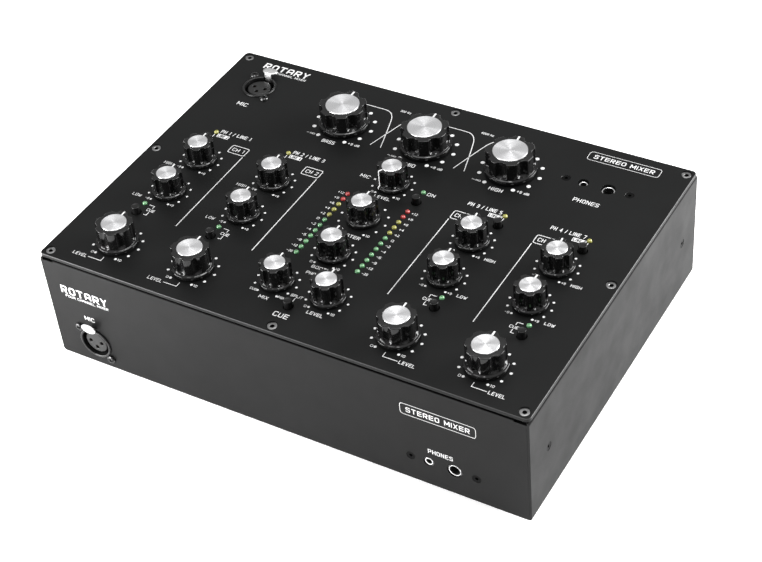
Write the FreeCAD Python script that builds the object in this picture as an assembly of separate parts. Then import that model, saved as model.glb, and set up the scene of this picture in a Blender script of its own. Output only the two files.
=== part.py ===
import FreeCAD, Part
import math
import os

# A four-channel rotary mixing console: a folded steel case with a thick top plate, twenty
# rotary controls, ten push buttons, two level meters, and sockets on the top, front and rear.
# Millimetres. X runs to the right along the case's width, Y from front to back, Z up.
# The origin is the middle of the footprint of the whole object, on the surface it stands on.

os.makedirs("parts", exist_ok=True)
Vector = FreeCAD.Vector
X_AXIS = Vector(1, 0, 0)
Y_AXIS = Vector(0, 1, 0)
Z_AXIS = Vector(0, 0, 1)
ORIGIN = Vector(0, 0, 0)

# ---------------------------------------------------------------- driving dimensions
CASE_WIDTH = 320.0
CASE_DEPTH = 226.9
CASE_HEIGHT = 78.3
FOOT_HEIGHT = 8.0
SHEET = 1.5
TOP_SHEET = 2.5
FRONT_REACH = 4.2          # the front latch tab stands this far out of the front face
REAR_REACH = 10.0          # the ground posts stand this far out of the rear face
FIT_GAP = 0.1              # between sheets that meet edge to edge

SCREW_R = 1.45             # M3
SCREW_HOLE_R = 1.5
HEAD_R = 2.8

# heights above the top plate, and the round sections, of the three sizes of knob
KNOB_SIZES = {
    "large": dict(skirt=16.2, column=15.0, flute=12.7, flute_half=13.5, cap=10.75, height=15.6,
                  ledge=3.5, recess=9.0),
    "medium": dict(skirt=12.6, column=11.3, flute=10.0, flute_half=12.5, cap=7.65, height=15.9,
                   ledge=3.15, recess=8.0),
    "small": dict(skirt=10.5, column=9.3, flute=7.6, flute_half=14.0, cap=6.15, height=14.8,
                  ledge=2.85, recess=6.8),
}
FLUTES = 7
FLUTE_ROUND = 0.8          # round between a flute's wall and its floor
LEDGE_ROUND = 0.5          # rounds on the ledge where the column stands on the skirt
KNOB_GAP = 0.6             # from the top plate to the knob's skirt
CAP_STEP = 0.5             # the aluminium cap stands this far above the moulding
CAP_THICKNESS = 1.1
SHAFT_R = 3.0
SHAFT_BORE_R = 3.05

# the channel strips, measured from the middle of the case
CHANNEL_X = {"ch1": -121.6, "ch2": -67.8, "ch3": 67.8, "ch4": 121.6}
BUTTON_OFFSET = 7.0        # the strip's buttons and lamps stand this far outboard of its knobs
CHANNEL_HIGH_Y = 114.4
CHANNEL_LOW_Y = 80.4
CHANNEL_LEVEL_Y = 27.0
SOURCE_BUTTON_Y = 133.0
SOURCE_LED_Y = 142.4
CUE_BUTTON_Y = 55.3
CUE_LED_Y = 64.2
ISOLATOR_X = {"bass": -58.3, "mid": 0.0, "treble": 58.3}
ISOLATOR_Y = 183.0
CENTRE_KNOBS = {
    "mic_level": (0.0, 142.1),
    "master_level": (0.0, 106.1),
    "booth_level": (0.0, 71.7),
    "cue_mix": (-17.0, 37.5),
    "cue_level": (17.0, 37.5),
}
MIC_BUTTON = (21.0, 132.5)
MIC_LED = (20.5, 142.3)
SPLIT_BUTTON = (0.0, 22.0)
METER_X = (-20.5, 20.5)
METER_TOP_Y = 122.5
METER_PITCH = 5.34
METER_COLOURS = ["red"] * 2 + ["yellow"] * 3 + ["green"] * 7

BUTTON_R = 2.55
BUTTON_HOLE_R = 3.15
BUTTON_HEIGHT = 4.8
BUTTON_TRAVEL = 2.0
STEM_R = 1.5
STEM_HOLE_R = 1.55
LED_R = 1.45
LED_HOLE_R = 1.5

# the board hangs under the top plate, and the control bodies stand on it
BOARD_THICKNESS = 1.6
BOARD_DROP = 11.0          # from the plate's upper face to the board's upper face

# sockets: places are (x from the middle, distance along the panel)
TOP_MIC = (-130.0, 195.0)
FRONT_MIC = (-131.7, 16.8)
MIC_SCREW_STEP = 9.75
COLLAR_R = 11.0
COLLAR_HOLE_R = 10.4
SHELL_OUTER_R = 10.3
SHELL_INNER_R = 9.6
INSERT_R = 7.75
CONTACT_STEP = 4.0
CONTACT_HOLE_R = 1.25
CONTACT_OUTER_R = 1.6
CONTACT_TOP = -1.8
CONTACT_BOTTOM = -15.9
LATCH_TRAVEL = 2.5
TAB_HEIGHT = FRONT_REACH
TOP_PHONES = (112.0, 190.1)
FRONT_PHONES = (106.5, 18.2)
PHONES_SCREW_STEP = 20.5
SMALL_JACK_STEP = -9.2
LARGE_JACK_STEP = 6.9
SMALL_JACK_HOLE_R = 3.35
LARGE_JACK_HOLE_R = 4.6
SMALL_JACK = dict(sleeve=2.65, bore=1.8, length=6.0, body=(9.0, 8.0, 13.0), board=2.0)
LARGE_JACK = dict(sleeve=3.9, bore=3.2, length=8.0, body=(15.0, 13.0, 26.0), board=2.0)
TOP_JACK_DEPTH = 1.8
FRONT_JACK_DEPTH = 0.3
JACK_BODY_GAP = 0.6        # a jack's body is bored this much wider in radius than its sleeve

# rear panel, x from the middle and height above the underside of the case
RCA_COLUMNS = 10
RCA_FIRST_X = -141.0
RCA_PITCH = 18.0
RCA_ROWS = (30.0, 50.0)
RCA_SLEEVE_R = 4.15
RCA_LENGTH = 9.0
RCA_PIN_HOLE_R = 1.65      # the hole for a phono plug's centre pin
RCA_PIN_HOLE_DEPTH = 8.5   # below the rear face
OUTPUT_X = (54.0, 84.0)
OUTPUT_Z = 40.0
GROUND_X = (-152.0,)
GROUND_POST_R = 2.0
INLET_X = 128.0
INLET_Z = 27.0
ROCKER_Z = 54.0
ROCKER_TILT = 12.0

# ---------------------------------------------------------------- derived dimensions
HALF_WIDTH = CASE_WIDTH / 2.0
FRONT_Y = (FRONT_REACH - CASE_DEPTH - REAR_REACH) / 2.0
REAR_Y = FRONT_Y + CASE_DEPTH
TOP_Z = FOOT_HEIGHT + CASE_HEIGHT
PLATE_LOW = -TOP_SHEET
RIM_Z = CASE_HEIGHT - TOP_SHEET
PANEL_GAP = 0.7            # the shadow gap between the top plate and the front and rear panels
PANEL_TOP = RIM_Z - PANEL_GAP
PANEL_BEND_R = 1.0
PLATE_EDGE_BREAK = 0.3     # the broken lower edge of the top plate
MIC_LEVEL_TURN = 150.0     # the microphone's level is drawn turned right down, the rest at 12 o'clock
PANEL_HALF = HALF_WIDTH - SHEET - FIT_GAP
EAR_Z = 38.3
EAR_Y = (22.0, CASE_DEPTH - 20.4)
RIM_SCREWS = [(-155.0, 5.0), (0.0, 5.0), (155.0, 5.0), (-155.0, 113.5), (155.0, 113.5),
              (-155.0, 221.9), (0.0, 221.9), (155.0, 221.9)]
FOOT_PLACES = [(-122.0, 34.0), (122.0, 34.0), (-122.0, 193.0), (122.0, 193.0)]
STANDOFFS = [(-146.0, 18.0), (-36.0, 18.0), (36.0, 18.0), (146.0, 18.0),
             (-146.0, 152.0), (146.0, 152.0), (-81.0, 210.0), (81.0, 210.0)]


# ---------------------------------------------------------------- helpers
def box(x0, x1, y0, y1, z0, z1):
    return Part.makeBox(x1 - x0, y1 - y0, z1 - z0, Vector(x0, y0, z0))


def disc(radius, low, high, x=0.0, y=0.0):
    return Part.makeCylinder(radius, high - low, Vector(x, y, low))


def tube(outer, inner, low, high, x=0.0, y=0.0):
    return disc(outer, low, high, x, y).cut(disc(inner, low - 1, high + 1, x, y))


def taper(low_radius, high_radius, low, high, x=0.0, y=0.0):
    return Part.makeCone(low_radius, high_radius, high - low, Vector(x, y, low))


def turned(profile):
    """A solid of revolution about Z from (radius, height) points."""
    points = [Vector(r, 0, z) for r, z in profile]
    face = Part.Face(Part.makePolygon(points + points[:1]))
    return face.revolve(ORIGIN, Z_AXIS, 360)


def joined(shapes):
    whole = shapes[0]
    for shape in shapes[1:]:
        whole = whole.fuse(shape)
    return whole.removeSplitter()


def group(shapes):
    return Part.makeCompound(shapes)


def moved(shape, x, y, z):
    copy = shape.copy()
    copy.translate(Vector(x, y, z))
    return copy


def on_top(shape, x, y):
    """Places a shape drawn about the plate's upper face at a point of the top panel."""
    return moved(shape, x, FRONT_Y + y, TOP_Z)


def on_front(shape, x, z):
    """Turns a shape drawn facing up so that it faces forwards, at a point of the front panel."""
    copy = shape.copy()
    copy.rotate(ORIGIN, X_AXIS, 90)
    return moved(copy, x, FRONT_Y, FOOT_HEIGHT + z)


def on_rear(shape, x, z):
    """Turns a shape drawn facing up so that it faces backwards, with its own +Y up."""
    copy = shape.copy()
    copy.rotate(ORIGIN, Z_AXIS, 180)
    copy.rotate(ORIGIN, X_AXIS, -90)
    return moved(copy, x, REAR_Y, FOOT_HEIGHT + z)


def in_case(shape):
    """Places a shape drawn from the front face and the underside of the case."""
    return moved(shape, 0, FRONT_Y, FOOT_HEIGHT)


def save(node, shape):
    shape.exportStep("parts/%s.step" % node)


# ---------------------------------------------------------------- screws and their holes
def countersunk_screw(length):
    """A countersunk hex socket screw with its head's face at z = 0."""
    head = taper(SCREW_R, HEAD_R, -1.6, 0)
    shank = disc(SCREW_R, -length, -1.5)
    socket_radius = 1.16
    corners = [Vector(socket_radius * math.cos(math.radians(60 * i)),
                      socket_radius * math.sin(math.radians(60 * i)), -1.2) for i in range(7)]
    socket = Part.Face(Part.makePolygon(corners)).extrude(Vector(0, 0, 2))
    return head.fuse(shank).cut(socket)


def countersink(recess, recess_radius=3.5):
    """The hole such a screw needs, with its head sunk below the surface at z = 0."""
    seat = taper(SCREW_R + 0.1, HEAD_R + 0.1, -recess - 1.7, -recess)
    return seat.fuse(disc(SCREW_HOLE_R, -6, 0)).fuse(disc(recess_radius, -recess, 1))


def pan_screw(length):
    """A cross-recessed pan head screw seated on z = 0."""
    head = disc(2.7, 0, 1.7)
    head = head.makeFillet(0.9, [e for e in head.Edges if abs(e.BoundBox.ZMin - 1.7) < 1e-6])
    cross = joined([box(-1.5, 1.5, -0.35, 0.35, 0.7, 2), box(-0.35, 0.35, -1.5, 1.5, 0.7, 2)])
    return head.fuse(disc(SCREW_R, -length, 0.1)).cut(cross)


# ---------------------------------------------------------------- case
def case_wrap():
    """Bottom and both sides folded from one sheet, with flanges that carry the top plate."""
    outer = box(-HALF_WIDTH, HALF_WIDTH, 0, CASE_DEPTH, 0, RIM_Z)
    along = [e for e in outer.Edges if e.BoundBox.YLength > CASE_DEPTH - 1]
    outer = outer.makeFillet(2.2, along)
    inner = box(-HALF_WIDTH + SHEET, HALF_WIDTH - SHEET, -1, CASE_DEPTH + 1, SHEET, RIM_Z - SHEET)
    flange = 9.0
    relief = 1.8
    shell = outer.cut(inner)
    opening = box(-HALF_WIDTH + flange, HALF_WIDTH - flange, -1, CASE_DEPTH + 1, SHEET + 1, CASE_HEIGHT)
    shell = shell.cut(opening)
    for side in (-1, 1):
        x0, x1 = sorted((side * (HALF_WIDTH - SHEET), side * (HALF_WIDTH - flange - 1)))
        shell = shell.cut(box(x0, x1, -1, relief, SHEET + 1, CASE_HEIGHT))
        shell = shell.cut(box(x0, x1, CASE_DEPTH - relief, CASE_DEPTH + 1, SHEET + 1, CASE_HEIGHT))
        for y in EAR_Y:
            hole = countersink(0.1, HEAD_R + 0.1)
            hole.rotate(ORIGIN, Y_AXIS, 90 * side)
            shell = shell.cut(moved(hole, side * HALF_WIDTH, y, EAR_Z))
    for x, y in RIM_SCREWS:
        if x:
            shell = shell.cut(disc(SCREW_HOLE_R, RIM_Z - SHEET - 1, CASE_HEIGHT, x, y))
    for x, y in FOOT_PLACES:
        shell = shell.cut(disc(SCREW_HOLE_R, -1, SHEET + 1, x, y))
    return in_case(shell)


def end_panel(openings, screw_xy, ear_y):
    """A front or rear panel between the sides, drawn as a front: flanges run back from it.

    The top flange is just clear of the top plate, and an ear at each end takes a side screw.
    """
    flange = 10.5
    flange_half = HALF_WIDTH - 9.2
    ear_length = 30.0
    bend = box(-flange_half, flange_half, 0, flange, SHEET, PANEL_TOP)
    front_edge = [e for e in bend.Edges
                  if e.BoundBox.XLength > 10 and e.BoundBox.YMax < 0.01 and e.BoundBox.ZMin > PANEL_TOP - 1]
    bend = bend.makeFillet(PANEL_BEND_R, front_edge)
    bend = bend.cut(box(-HALF_WIDTH, HALF_WIDTH, SHEET, 20, SHEET + SHEET, PANEL_TOP - SHEET))
    face = box(-PANEL_HALF, PANEL_HALF, 0, SHEET, SHEET, PANEL_TOP - SHEET)
    ears = [box(-PANEL_HALF, -PANEL_HALF + SHEET, 0, ear_length, EAR_Z - 10, EAR_Z + 10),
            box(PANEL_HALF - SHEET, PANEL_HALF, 0, ear_length, EAR_Z - 10, EAR_Z + 10)]
    panel = joined([bend, face] + ears)
    for side in (-1, 1):
        hole = Part.makeCylinder(SCREW_HOLE_R, 8, Vector(side * PANEL_HALF - 4, ear_y, EAR_Z), X_AXIS)
        panel = panel.cut(hole)
    panel = panel.cut(disc(SCREW_HOLE_R, PANEL_TOP - SHEET - 1, CASE_HEIGHT, *screw_xy))
    for opening in openings:
        panel = panel.cut(opening)
    return panel


def facing_front(shape, x, z):
    """Turns a cutter drawn facing up so that it faces forwards, in the case's own frame."""
    copy = shape.copy()
    copy.rotate(ORIGIN, X_AXIS, 90)
    return moved(copy, x, 0, z)


def mic_opening():
    """The hole for a microphone socket: its shell, its latch and its two screws."""
    hole = disc(COLLAR_HOLE_R, -5, 1)
    hole = hole.fuse(box(-3.0, 3.0, 8, 11.7, -5, 1))
    for sign in (-1, 1):
        hole = hole.fuse(disc(SCREW_HOLE_R, -5, 1, -sign * MIC_SCREW_STEP, sign * MIC_SCREW_STEP))
    return hole


def phones_opening():
    """The holes for a pair of headphone jacks and the two screws of their bracket."""
    hole = disc(SMALL_JACK_HOLE_R, -5, 1, SMALL_JACK_STEP)
    hole = hole.fuse(disc(LARGE_JACK_HOLE_R, -5, 1, LARGE_JACK_STEP))
    for sign in (-1, 1):
        hole = hole.fuse(moved(countersink(0.1, HEAD_R + 0.1), sign * PHONES_SCREW_STEP, 0, 0))
    return hole


def front_panel():
    openings = [facing_front(mic_opening(), *FRONT_MIC),
                facing_front(phones_opening(), *FRONT_PHONES)]
    return in_case(end_panel(openings, (0.0, 5.0), EAR_Y[0]))


def rear_panel():
    """Drawn as a front and then turned half round, so its cutters have X reversed."""
    openings = []
    for x in rca_columns():
        for z in RCA_ROWS:
            openings.append(facing_front(disc(4.6, -5, 1), -x, z))
    for x in OUTPUT_X:
        openings.append(facing_front(output_opening(), -x, OUTPUT_Z))
    for x in GROUND_X:
        openings.append(facing_front(disc(GROUND_POST_R + 0.1, -5, 1), -x, ground_z()))
    openings.append(facing_front(box(-13.6, 13.6, -11.1, 37.6, -5, 1), -INLET_X, INLET_Z))
    panel = end_panel(openings, (0.0, 5.0), CASE_DEPTH - EAR_Y[1])
    panel.rotate(Vector(0, CASE_DEPTH / 2.0, 0), Z_AXIS, 180)
    return in_case(panel)


def top_panel():
    """The thick top plate, with every hole of the control surface."""
    plate = box(-HALF_WIDTH, HALF_WIDTH, -CASE_DEPTH / 2, CASE_DEPTH / 2, PLATE_LOW, 0)
    plate = plate.makeFillet(3.0, [e for e in plate.Edges if e.BoundBox.ZLength > 1])
    rim = [e for e in plate.Edges if e.BoundBox.ZMin > -0.01]
    plate = plate.makeFillet(0.4, rim)
    lower_rim = [e for e in plate.Edges if e.BoundBox.ZMax < PLATE_LOW + 0.01]
    plate = plate.makeChamfer(PLATE_EDGE_BREAK, lower_rim)
    plate = moved(plate, 0, CASE_DEPTH / 2, 0)
    cutters = [moved(countersink(0.45), x, y, 0) for x, y in RIM_SCREWS]
    cutters += [disc(3.6, -4, 1, x, y) for x, y in knob_places().values()]
    cutters += [disc(BUTTON_HOLE_R, -4, 1, x, y) for x, y in button_places().values()]
    cutters += [disc(LED_HOLE_R, -4, 1, x, y) for places in led_places().values() for x, y in places]
    cutters.append(moved(mic_opening(), TOP_MIC[0], TOP_MIC[1], 0))
    cutters.append(moved(phones_opening(), TOP_PHONES[0], TOP_PHONES[1], 0))
    return moved(plate.cut(cutters), 0, FRONT_Y, TOP_Z)


def top_screws():
    screw = moved(countersunk_screw(8.0), 0, 0, -0.5)
    return group([on_top(screw, x, y) for x, y in RIM_SCREWS])


def black_screws():
    """The same short black screws hold the sides, the jack brackets and the feet."""
    screw = moved(countersunk_screw(8.0), 0, 0, -0.15)
    screws = []
    for side in (-1, 1):
        sideways = screw.copy()
        sideways.rotate(ORIGIN, Y_AXIS, 90 * side)
        screws += [in_case(moved(sideways, side * HALF_WIDTH, y, EAR_Z)) for y in EAR_Y]
        screws.append(on_top(screw, TOP_PHONES[0] + side * PHONES_SCREW_STEP, TOP_PHONES[1]))
        screws.append(on_front(screw, FRONT_PHONES[0] + side * PHONES_SCREW_STEP, FRONT_PHONES[1]))
    upwards = countersunk_screw(8.0)
    upwards.rotate(ORIGIN, X_AXIS, 180)
    screws += [in_case(moved(upwards, x, y, -4.5)) for x, y in FOOT_PLACES]
    return group(screws)


def feet():
    """Tapered rubber feet, each with a deep recess for its screw."""
    foot = turned([(1.6, 0), (10.0, 0), (10.0, -1.5), (9.0, -FOOT_HEIGHT + 0.6),
                   (8.4, -FOOT_HEIGHT), (3.6, -FOOT_HEIGHT), (3.6, -4.5), (2.95, -4.5), (1.6, -2.8)])
    return group([in_case(moved(foot, x, y, 0)) for x, y in FOOT_PLACES])


# ---------------------------------------------------------------- control positions
def knob_places():
    """Knob name to its place on the top panel."""
    places = {name + "_knob": (x, ISOLATOR_Y) for name, x in ISOLATOR_X.items()}
    for channel, x in CHANNEL_X.items():
        places[channel + "_high_knob"] = (x, CHANNEL_HIGH_Y)
        places[channel + "_low_knob"] = (x, CHANNEL_LOW_Y)
        places[channel + "_level_knob"] = (x, CHANNEL_LEVEL_Y)
    for name, place in CENTRE_KNOBS.items():
        places[name + "_knob"] = place
    return places


def knob_size(name):
    if name.split("_")[0] in ISOLATOR_X:
        return "large"
    if name.startswith("ch") and name.endswith("level_knob"):
        return "medium"
    return "small"


def lamp_x(channel):
    x = CHANNEL_X[channel]
    return x + math.copysign(BUTTON_OFFSET, x)


def button_places():
    places = {"mic_on_button": MIC_BUTTON, "split_button": SPLIT_BUTTON}
    for channel in CHANNEL_X:
        places[channel + "_source_button"] = (lamp_x(channel), SOURCE_BUTTON_Y)
        places[channel + "_cue_button"] = (lamp_x(channel), CUE_BUTTON_Y)
    return places


def led_places():
    """Lamp colour to the places of the lamps of that colour."""
    places = {"red": [], "yellow": [], "green": []}
    for x in METER_X:
        for step, colour in enumerate(METER_COLOURS):
            places[colour].append((x, METER_TOP_Y - step * METER_PITCH))
    for channel in CHANNEL_X:
        places["yellow"].append((lamp_x(channel), SOURCE_LED_Y))
        places["green"].append((lamp_x(channel), CUE_LED_Y))
    places["green"].append(MIC_LED)
    return places


# ---------------------------------------------------------------- knobs and buttons
def flute_cutter(size):
    """A cutter for one flute, with a round lower edge, and how far its axis is from the knob's."""
    column, floor = size["column"], size["flute"]
    cosine = math.cos(math.radians(size["flute_half"]))
    radius = (floor ** 2 + column ** 2 - 2 * column * floor * cosine) / (2 * (column * cosine - floor))
    start = size["ledge"] + 0.02
    cutter = disc(radius, start, size["height"] + 2)
    cutter = cutter.makeFillet(FLUTE_ROUND, [e for e in cutter.Edges if e.BoundBox.ZMax < start + 0.01])
    return cutter, floor + radius


def knob(size):
    """A fluted, skirted moulding with a turned aluminium cap, pushed on to its control's shaft."""
    skirt, column, recess = size["skirt"], size["column"], size["recess"]
    rim = size["height"] - CAP_STEP
    cap_floor = size["height"] - CAP_THICKNESS
    ledge = size["ledge"]
    body = turned([(0, 5.0), (recess, 5.0), (recess, KNOB_GAP), (skirt - 0.3, KNOB_GAP),
                   (skirt, KNOB_GAP + 0.3), (skirt, ledge - LEDGE_ROUND),
                   (skirt - 0.15, ledge - 0.15), (skirt - LEDGE_ROUND, ledge),
                   (column + LEDGE_ROUND, ledge), (column + 0.15, ledge + 0.15),
                   (column, ledge + LEDGE_ROUND), (column, rim - 0.4), (column - 0.4, rim), (0, rim)])
    cutter, distance = flute_cutter(size)
    for step in range(FLUTES):
        angle = 90.0 + (step + 0.5) * 360.0 / FLUTES
        flute = moved(cutter, distance * math.cos(math.radians(angle)),
                      distance * math.sin(math.radians(angle)), 0)
        body = body.cut(flute)
    body = body.cut(disc(size["cap"] + 0.03, cap_floor, rim + 1))
    body = body.cut(disc(SHAFT_R + 0.02, 4, cap_floor - 1.5))
    cap = disc(size["cap"], cap_floor, size["height"])
    cap = cap.makeFillet(0.25, [e for e in cap.Edges if e.BoundBox.ZMin > size["height"] - 0.01])
    shaft = disc(SHAFT_R, -7.5, cap_floor - 1.7)
    return group([body, cap, shaft])


def push_button():
    """A plain round cap on a stem, drawn released."""
    cap = disc(BUTTON_R, -1.9, BUTTON_HEIGHT)
    top = [e for e in cap.Edges if e.BoundBox.ZMin > BUTTON_HEIGHT - 0.01]
    cap = cap.makeFillet(0.35, top)
    return cap.fuse(disc(STEM_R, -8.0, -1.8))


# ---------------------------------------------------------------- under the top plate
def main_board():
    board = box(-150, 150, 12, 158, 0, BOARD_THICKNESS)
    board = board.fuse(box(-86, 86, 158, 216, 0, BOARD_THICKNESS)).removeSplitter()
    holes = [disc(SCREW_HOLE_R, -1, 3, x, y) for x, y in STANDOFFS]
    board = board.cut(holes)
    return moved(board, 0, FRONT_Y, TOP_Z - BOARD_DROP - BOARD_THICKNESS)


def board_standoffs():
    """Hex pillars from the top plate down to the board, and the screws that hold the board to them."""
    corners = [Vector(3.0 * math.cos(math.radians(60 * i)), 3.0 * math.sin(math.radians(60 * i)), -BOARD_DROP)
               for i in range(7)]
    pillar = Part.Face(Part.makePolygon(corners)).extrude(Vector(0, 0, BOARD_DROP + PLATE_LOW))
    pillar = pillar.cut(disc(SCREW_HOLE_R, -BOARD_DROP - 1, -BOARD_DROP + 5))
    screw = pan_screw(5.0)
    screw.rotate(ORIGIN, X_AXIS, 180)
    screw = moved(screw, 0, 0, -BOARD_DROP - BOARD_THICKNESS)
    solids = []
    for x, y in STANDOFFS:
        solids += [on_top(pillar, x, y), on_top(screw, x, y)]
    return group(solids)


def potentiometer():
    """A square-bodied control with a threaded bush, bored for the knob's shaft."""
    body = box(-6, 6, -6, 6, -BOARD_DROP, PLATE_LOW - 0.4)
    bush = disc(3.4, PLATE_LOW - 0.5, 3.9)
    return body.fuse(bush).cut(disc(SHAFT_BORE_R, -BOARD_DROP + 2.5, 5))


def pot_nut():
    """A hex nut on its washer, which clamp the control to the top plate."""
    corners = [Vector(5.75 * math.cos(math.radians(60 * i)), 5.75 * math.sin(math.radians(60 * i)), 0.5)
               for i in range(7)]
    nut = Part.Face(Part.makePolygon(corners)).extrude(Vector(0, 0, 2.0)).cut(disc(3.45, -1, 4))
    return [nut, tube(5.9, 3.45, 0, 0.5)]


def switch_body():
    """The latching switch under a push button."""
    return box(-4, 4, -4, 4, -BOARD_DROP, -4.3).cut(disc(STEM_HOLE_R, -10.4, -4))


def led():
    """A round 3 mm lamp with its flange and two legs down to the board."""
    lens = turned([(0, -5.2), (1.9, -5.2), (1.9, -4.2), (LED_R, -4.2), (LED_R, 0.2), (1.3, 0.62),
                   (0.9, 0.93), (0.45, 1.08), (0, 1.12)])
    legs = [box(x - 0.25, x + 0.25, -0.25, 0.25, -BOARD_DROP, -5.1) for x in (-1.27, 1.27)]
    return joined([lens] + legs)


# ---------------------------------------------------------------- microphone sockets
def mic_shell(sheet):
    """The die-cast shell behind a panel of this thickness, drawn facing up with its latch at +Y."""
    depth = 20.0
    shell = turned([(0, -depth), (SHELL_OUTER_R, -depth), (SHELL_OUTER_R, 0.0), (COLLAR_R, 0.0),
                    (COLLAR_R, 0.6), (COLLAR_R - 0.5, 1.1), (SHELL_INNER_R + 0.3, 1.1),
                    (SHELL_INNER_R, 0.8), (SHELL_INNER_R, -depth + 2), (0, -depth + 2)])
    ears = box(-13.2, 13.2, -13.2, 13.2, -sheet - 2.0, -sheet).cut(disc(SHELL_OUTER_R - 0.3, -9, 2))
    shell = shell.fuse(ears)
    shell = shell.cut(box(-2.6, 2.6, 8.5, 11.5, -9.0, 3))
    for sign in (-1, 1):
        shell = shell.cut(disc(SCREW_HOLE_R, -9, 0, -sign * MIC_SCREW_STEP, sign * MIC_SCREW_STEP))
    return shell


def contact_places():
    return [(-CONTACT_STEP, 0.2), (CONTACT_STEP, 0.2), (0.0, -CONTACT_STEP + 0.2)]


def mic_insert():
    """The round insulator with three contact holes."""
    insert = disc(INSERT_R, -18.0, -0.2)
    insert = insert.makeFillet(0.6, [e for e in insert.Edges if e.BoundBox.ZMin > -0.3])
    for x, y in contact_places():
        insert = insert.cut(disc(CONTACT_HOLE_R, -16.0, 1, x, y))
        insert = insert.cut(disc(CONTACT_OUTER_R + 0.05, -16.0, CONTACT_TOP + 0.1, x, y))
    return insert


def mic_contact():
    """A contact tube with the same bore as the hole above it, so a pin runs down both."""
    return tube(CONTACT_OUTER_R, CONTACT_HOLE_R, CONTACT_BOTTOM, CONTACT_TOP)


def mic_latch():
    """The push tab: an oval plate on a neck that runs down through the collar to its hook."""
    plate_low = TAB_HEIGHT - 0.9
    oval = Part.Ellipse(Vector(0, 14.0, plate_low), 5.2, 3.3)
    plate = Part.Face(Part.Wire(oval.toShape())).extrude(Vector(0, 0, 0.9))
    neck = box(-2.2, 2.2, 10.4, 11.2, -6.0, TAB_HEIGHT - 0.3)
    shoulder = box(-2.2, 2.2, 10.4, 12.2, plate_low, TAB_HEIGHT - 0.3)
    hook = box(-1.5, 1.5, 9.7, 10.6, -6.0, -5.0)
    return joined([plate, neck, shoulder, hook])


# ---------------------------------------------------------------- headphone jacks
def jack(kind, depth):
    """A jack whose sleeve ends this far below the panel's face: its metal sleeve and its body.

    The body is bored wider than the sleeve, so only the sleeve guides the plug.
    """
    width, height, length = kind["body"]
    end = -depth - kind["board"] - 2.0
    sleeve = tube(kind["sleeve"], kind["bore"], -depth - kind["length"], -depth)
    body = box(-width / 2, width / 2, -height / 2, height / 2, end - length, end)
    body = body.cut(disc(kind["sleeve"] + 0.02, -depth - kind["length"], 1))
    body = body.cut(disc(kind["bore"] + JACK_BODY_GAP, end - length + 1.5, 1))
    return [sleeve, body]


def phones_jacks(depth, sheet):
    """Two jacks and the flat bracket that their screws draw up against the panel."""
    solids = [moved(shape, SMALL_JACK_STEP, 0, 0) for shape in jack(SMALL_JACK, depth)]
    solids += [moved(shape, LARGE_JACK_STEP, 0, 0) for shape in jack(LARGE_JACK, depth)]
    bracket = box(-25.0, 25.0, -7.0, 7.0, -sheet - 1.4, -sheet)
    bracket = bracket.cut(disc(SMALL_JACK["sleeve"] + 0.05, -6, 1, SMALL_JACK_STEP))
    bracket = bracket.cut(disc(LARGE_JACK["sleeve"] + 0.05, -6, 1, LARGE_JACK_STEP))
    for sign in (-1, 1):
        hole = moved(countersink(0.1, HEAD_R + 0.1), sign * PHONES_SCREW_STEP, 0, 0)
        bracket = bracket.cut(hole)
    return solids + [bracket]


# ---------------------------------------------------------------- rear panel parts
def rca_columns():
    return [RCA_FIRST_X + i * RCA_PITCH for i in range(RCA_COLUMNS)]


def ground_z():
    return sum(RCA_ROWS) / 2.0


def rca_socket():
    """A phono socket: metal sleeve, slotted insulator and the square body behind the panel."""
    sleeve = tube(RCA_SLEEVE_R, 3.35, 0, RCA_LENGTH).fuse(tube(4.0, 3.35, -SHEET - 1.0, 0.1))
    insulator = tube(3.3, RCA_PIN_HOLE_R, -SHEET - 1.0, RCA_LENGTH - 1.0)
    body = box(-6, 6, -6, 6, -SHEET - 10.5, -SHEET).cut(disc(4.05, -SHEET - 1.0, 1))
    body = body.cut(disc(RCA_PIN_HOLE_R, -RCA_PIN_HOLE_DEPTH, 1))
    return [sleeve, insulator, body]


def output_opening():
    hole = disc(11.2, -5, 1)
    for sign in (-1, 1):
        hole = hole.fuse(disc(SCREW_HOLE_R, -5, 1, sign * 9.5, sign * 12.0))
    return hole


def output_socket():
    """A male three-pin output: square flange, round cup and three pins."""
    flange = box(-13, 13, -15.5, 15.5, 0, 1.8)
    flange = flange.makeFillet(2.5, [e for e in flange.Edges if e.BoundBox.ZLength > 1])
    cup = disc(11.0, -16.0, 0.1)
    shell = flange.fuse(cup).cut(disc(9.4, -14.0, 3))
    shell = shell.cut([disc(SCREW_HOLE_R, -1, 3, sign * 9.5, sign * 12.0) for sign in (-1, 1)])
    shell = shell.cut([disc(1.2, -17, -10, x, y) for x, y in contact_places()])
    pins = []
    for x, y in contact_places():
        pin = disc(1.18, -18.0, -3.0, x, y)
        pins.append(pin.makeFillet(0.6, [e for e in pin.Edges if e.BoundBox.ZMin > -3.01]))
    return [shell] + pins


def ground_terminal():
    """A threaded post with a hex collar outside the panel and a nut inside it."""
    corners = [Vector(4.2 * math.cos(math.radians(60 * i)), 4.2 * math.sin(math.radians(60 * i)), 0)
               for i in range(7)]
    collar = Part.Face(Part.makePolygon(corners)).extrude(Vector(0, 0, 2.0))
    nut = moved(collar, 0, 0, -SHEET - 2.0)
    return joined([collar, disc(GROUND_POST_R, -8.0, REAR_REACH), nut])


def ground_nut():
    """A knurled thumb nut on the post."""
    nut = disc(4.3, 3.0, 8.0)
    ribs = 16
    for step in range(ribs):
        angle = math.radians(360.0 * step / ribs)
        nut = nut.cut(disc(0.5, 2, 9, 4.55 * math.cos(angle), 4.55 * math.sin(angle)))
    return nut.cut(disc(GROUND_POST_R + 0.05, 2, 9))


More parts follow.
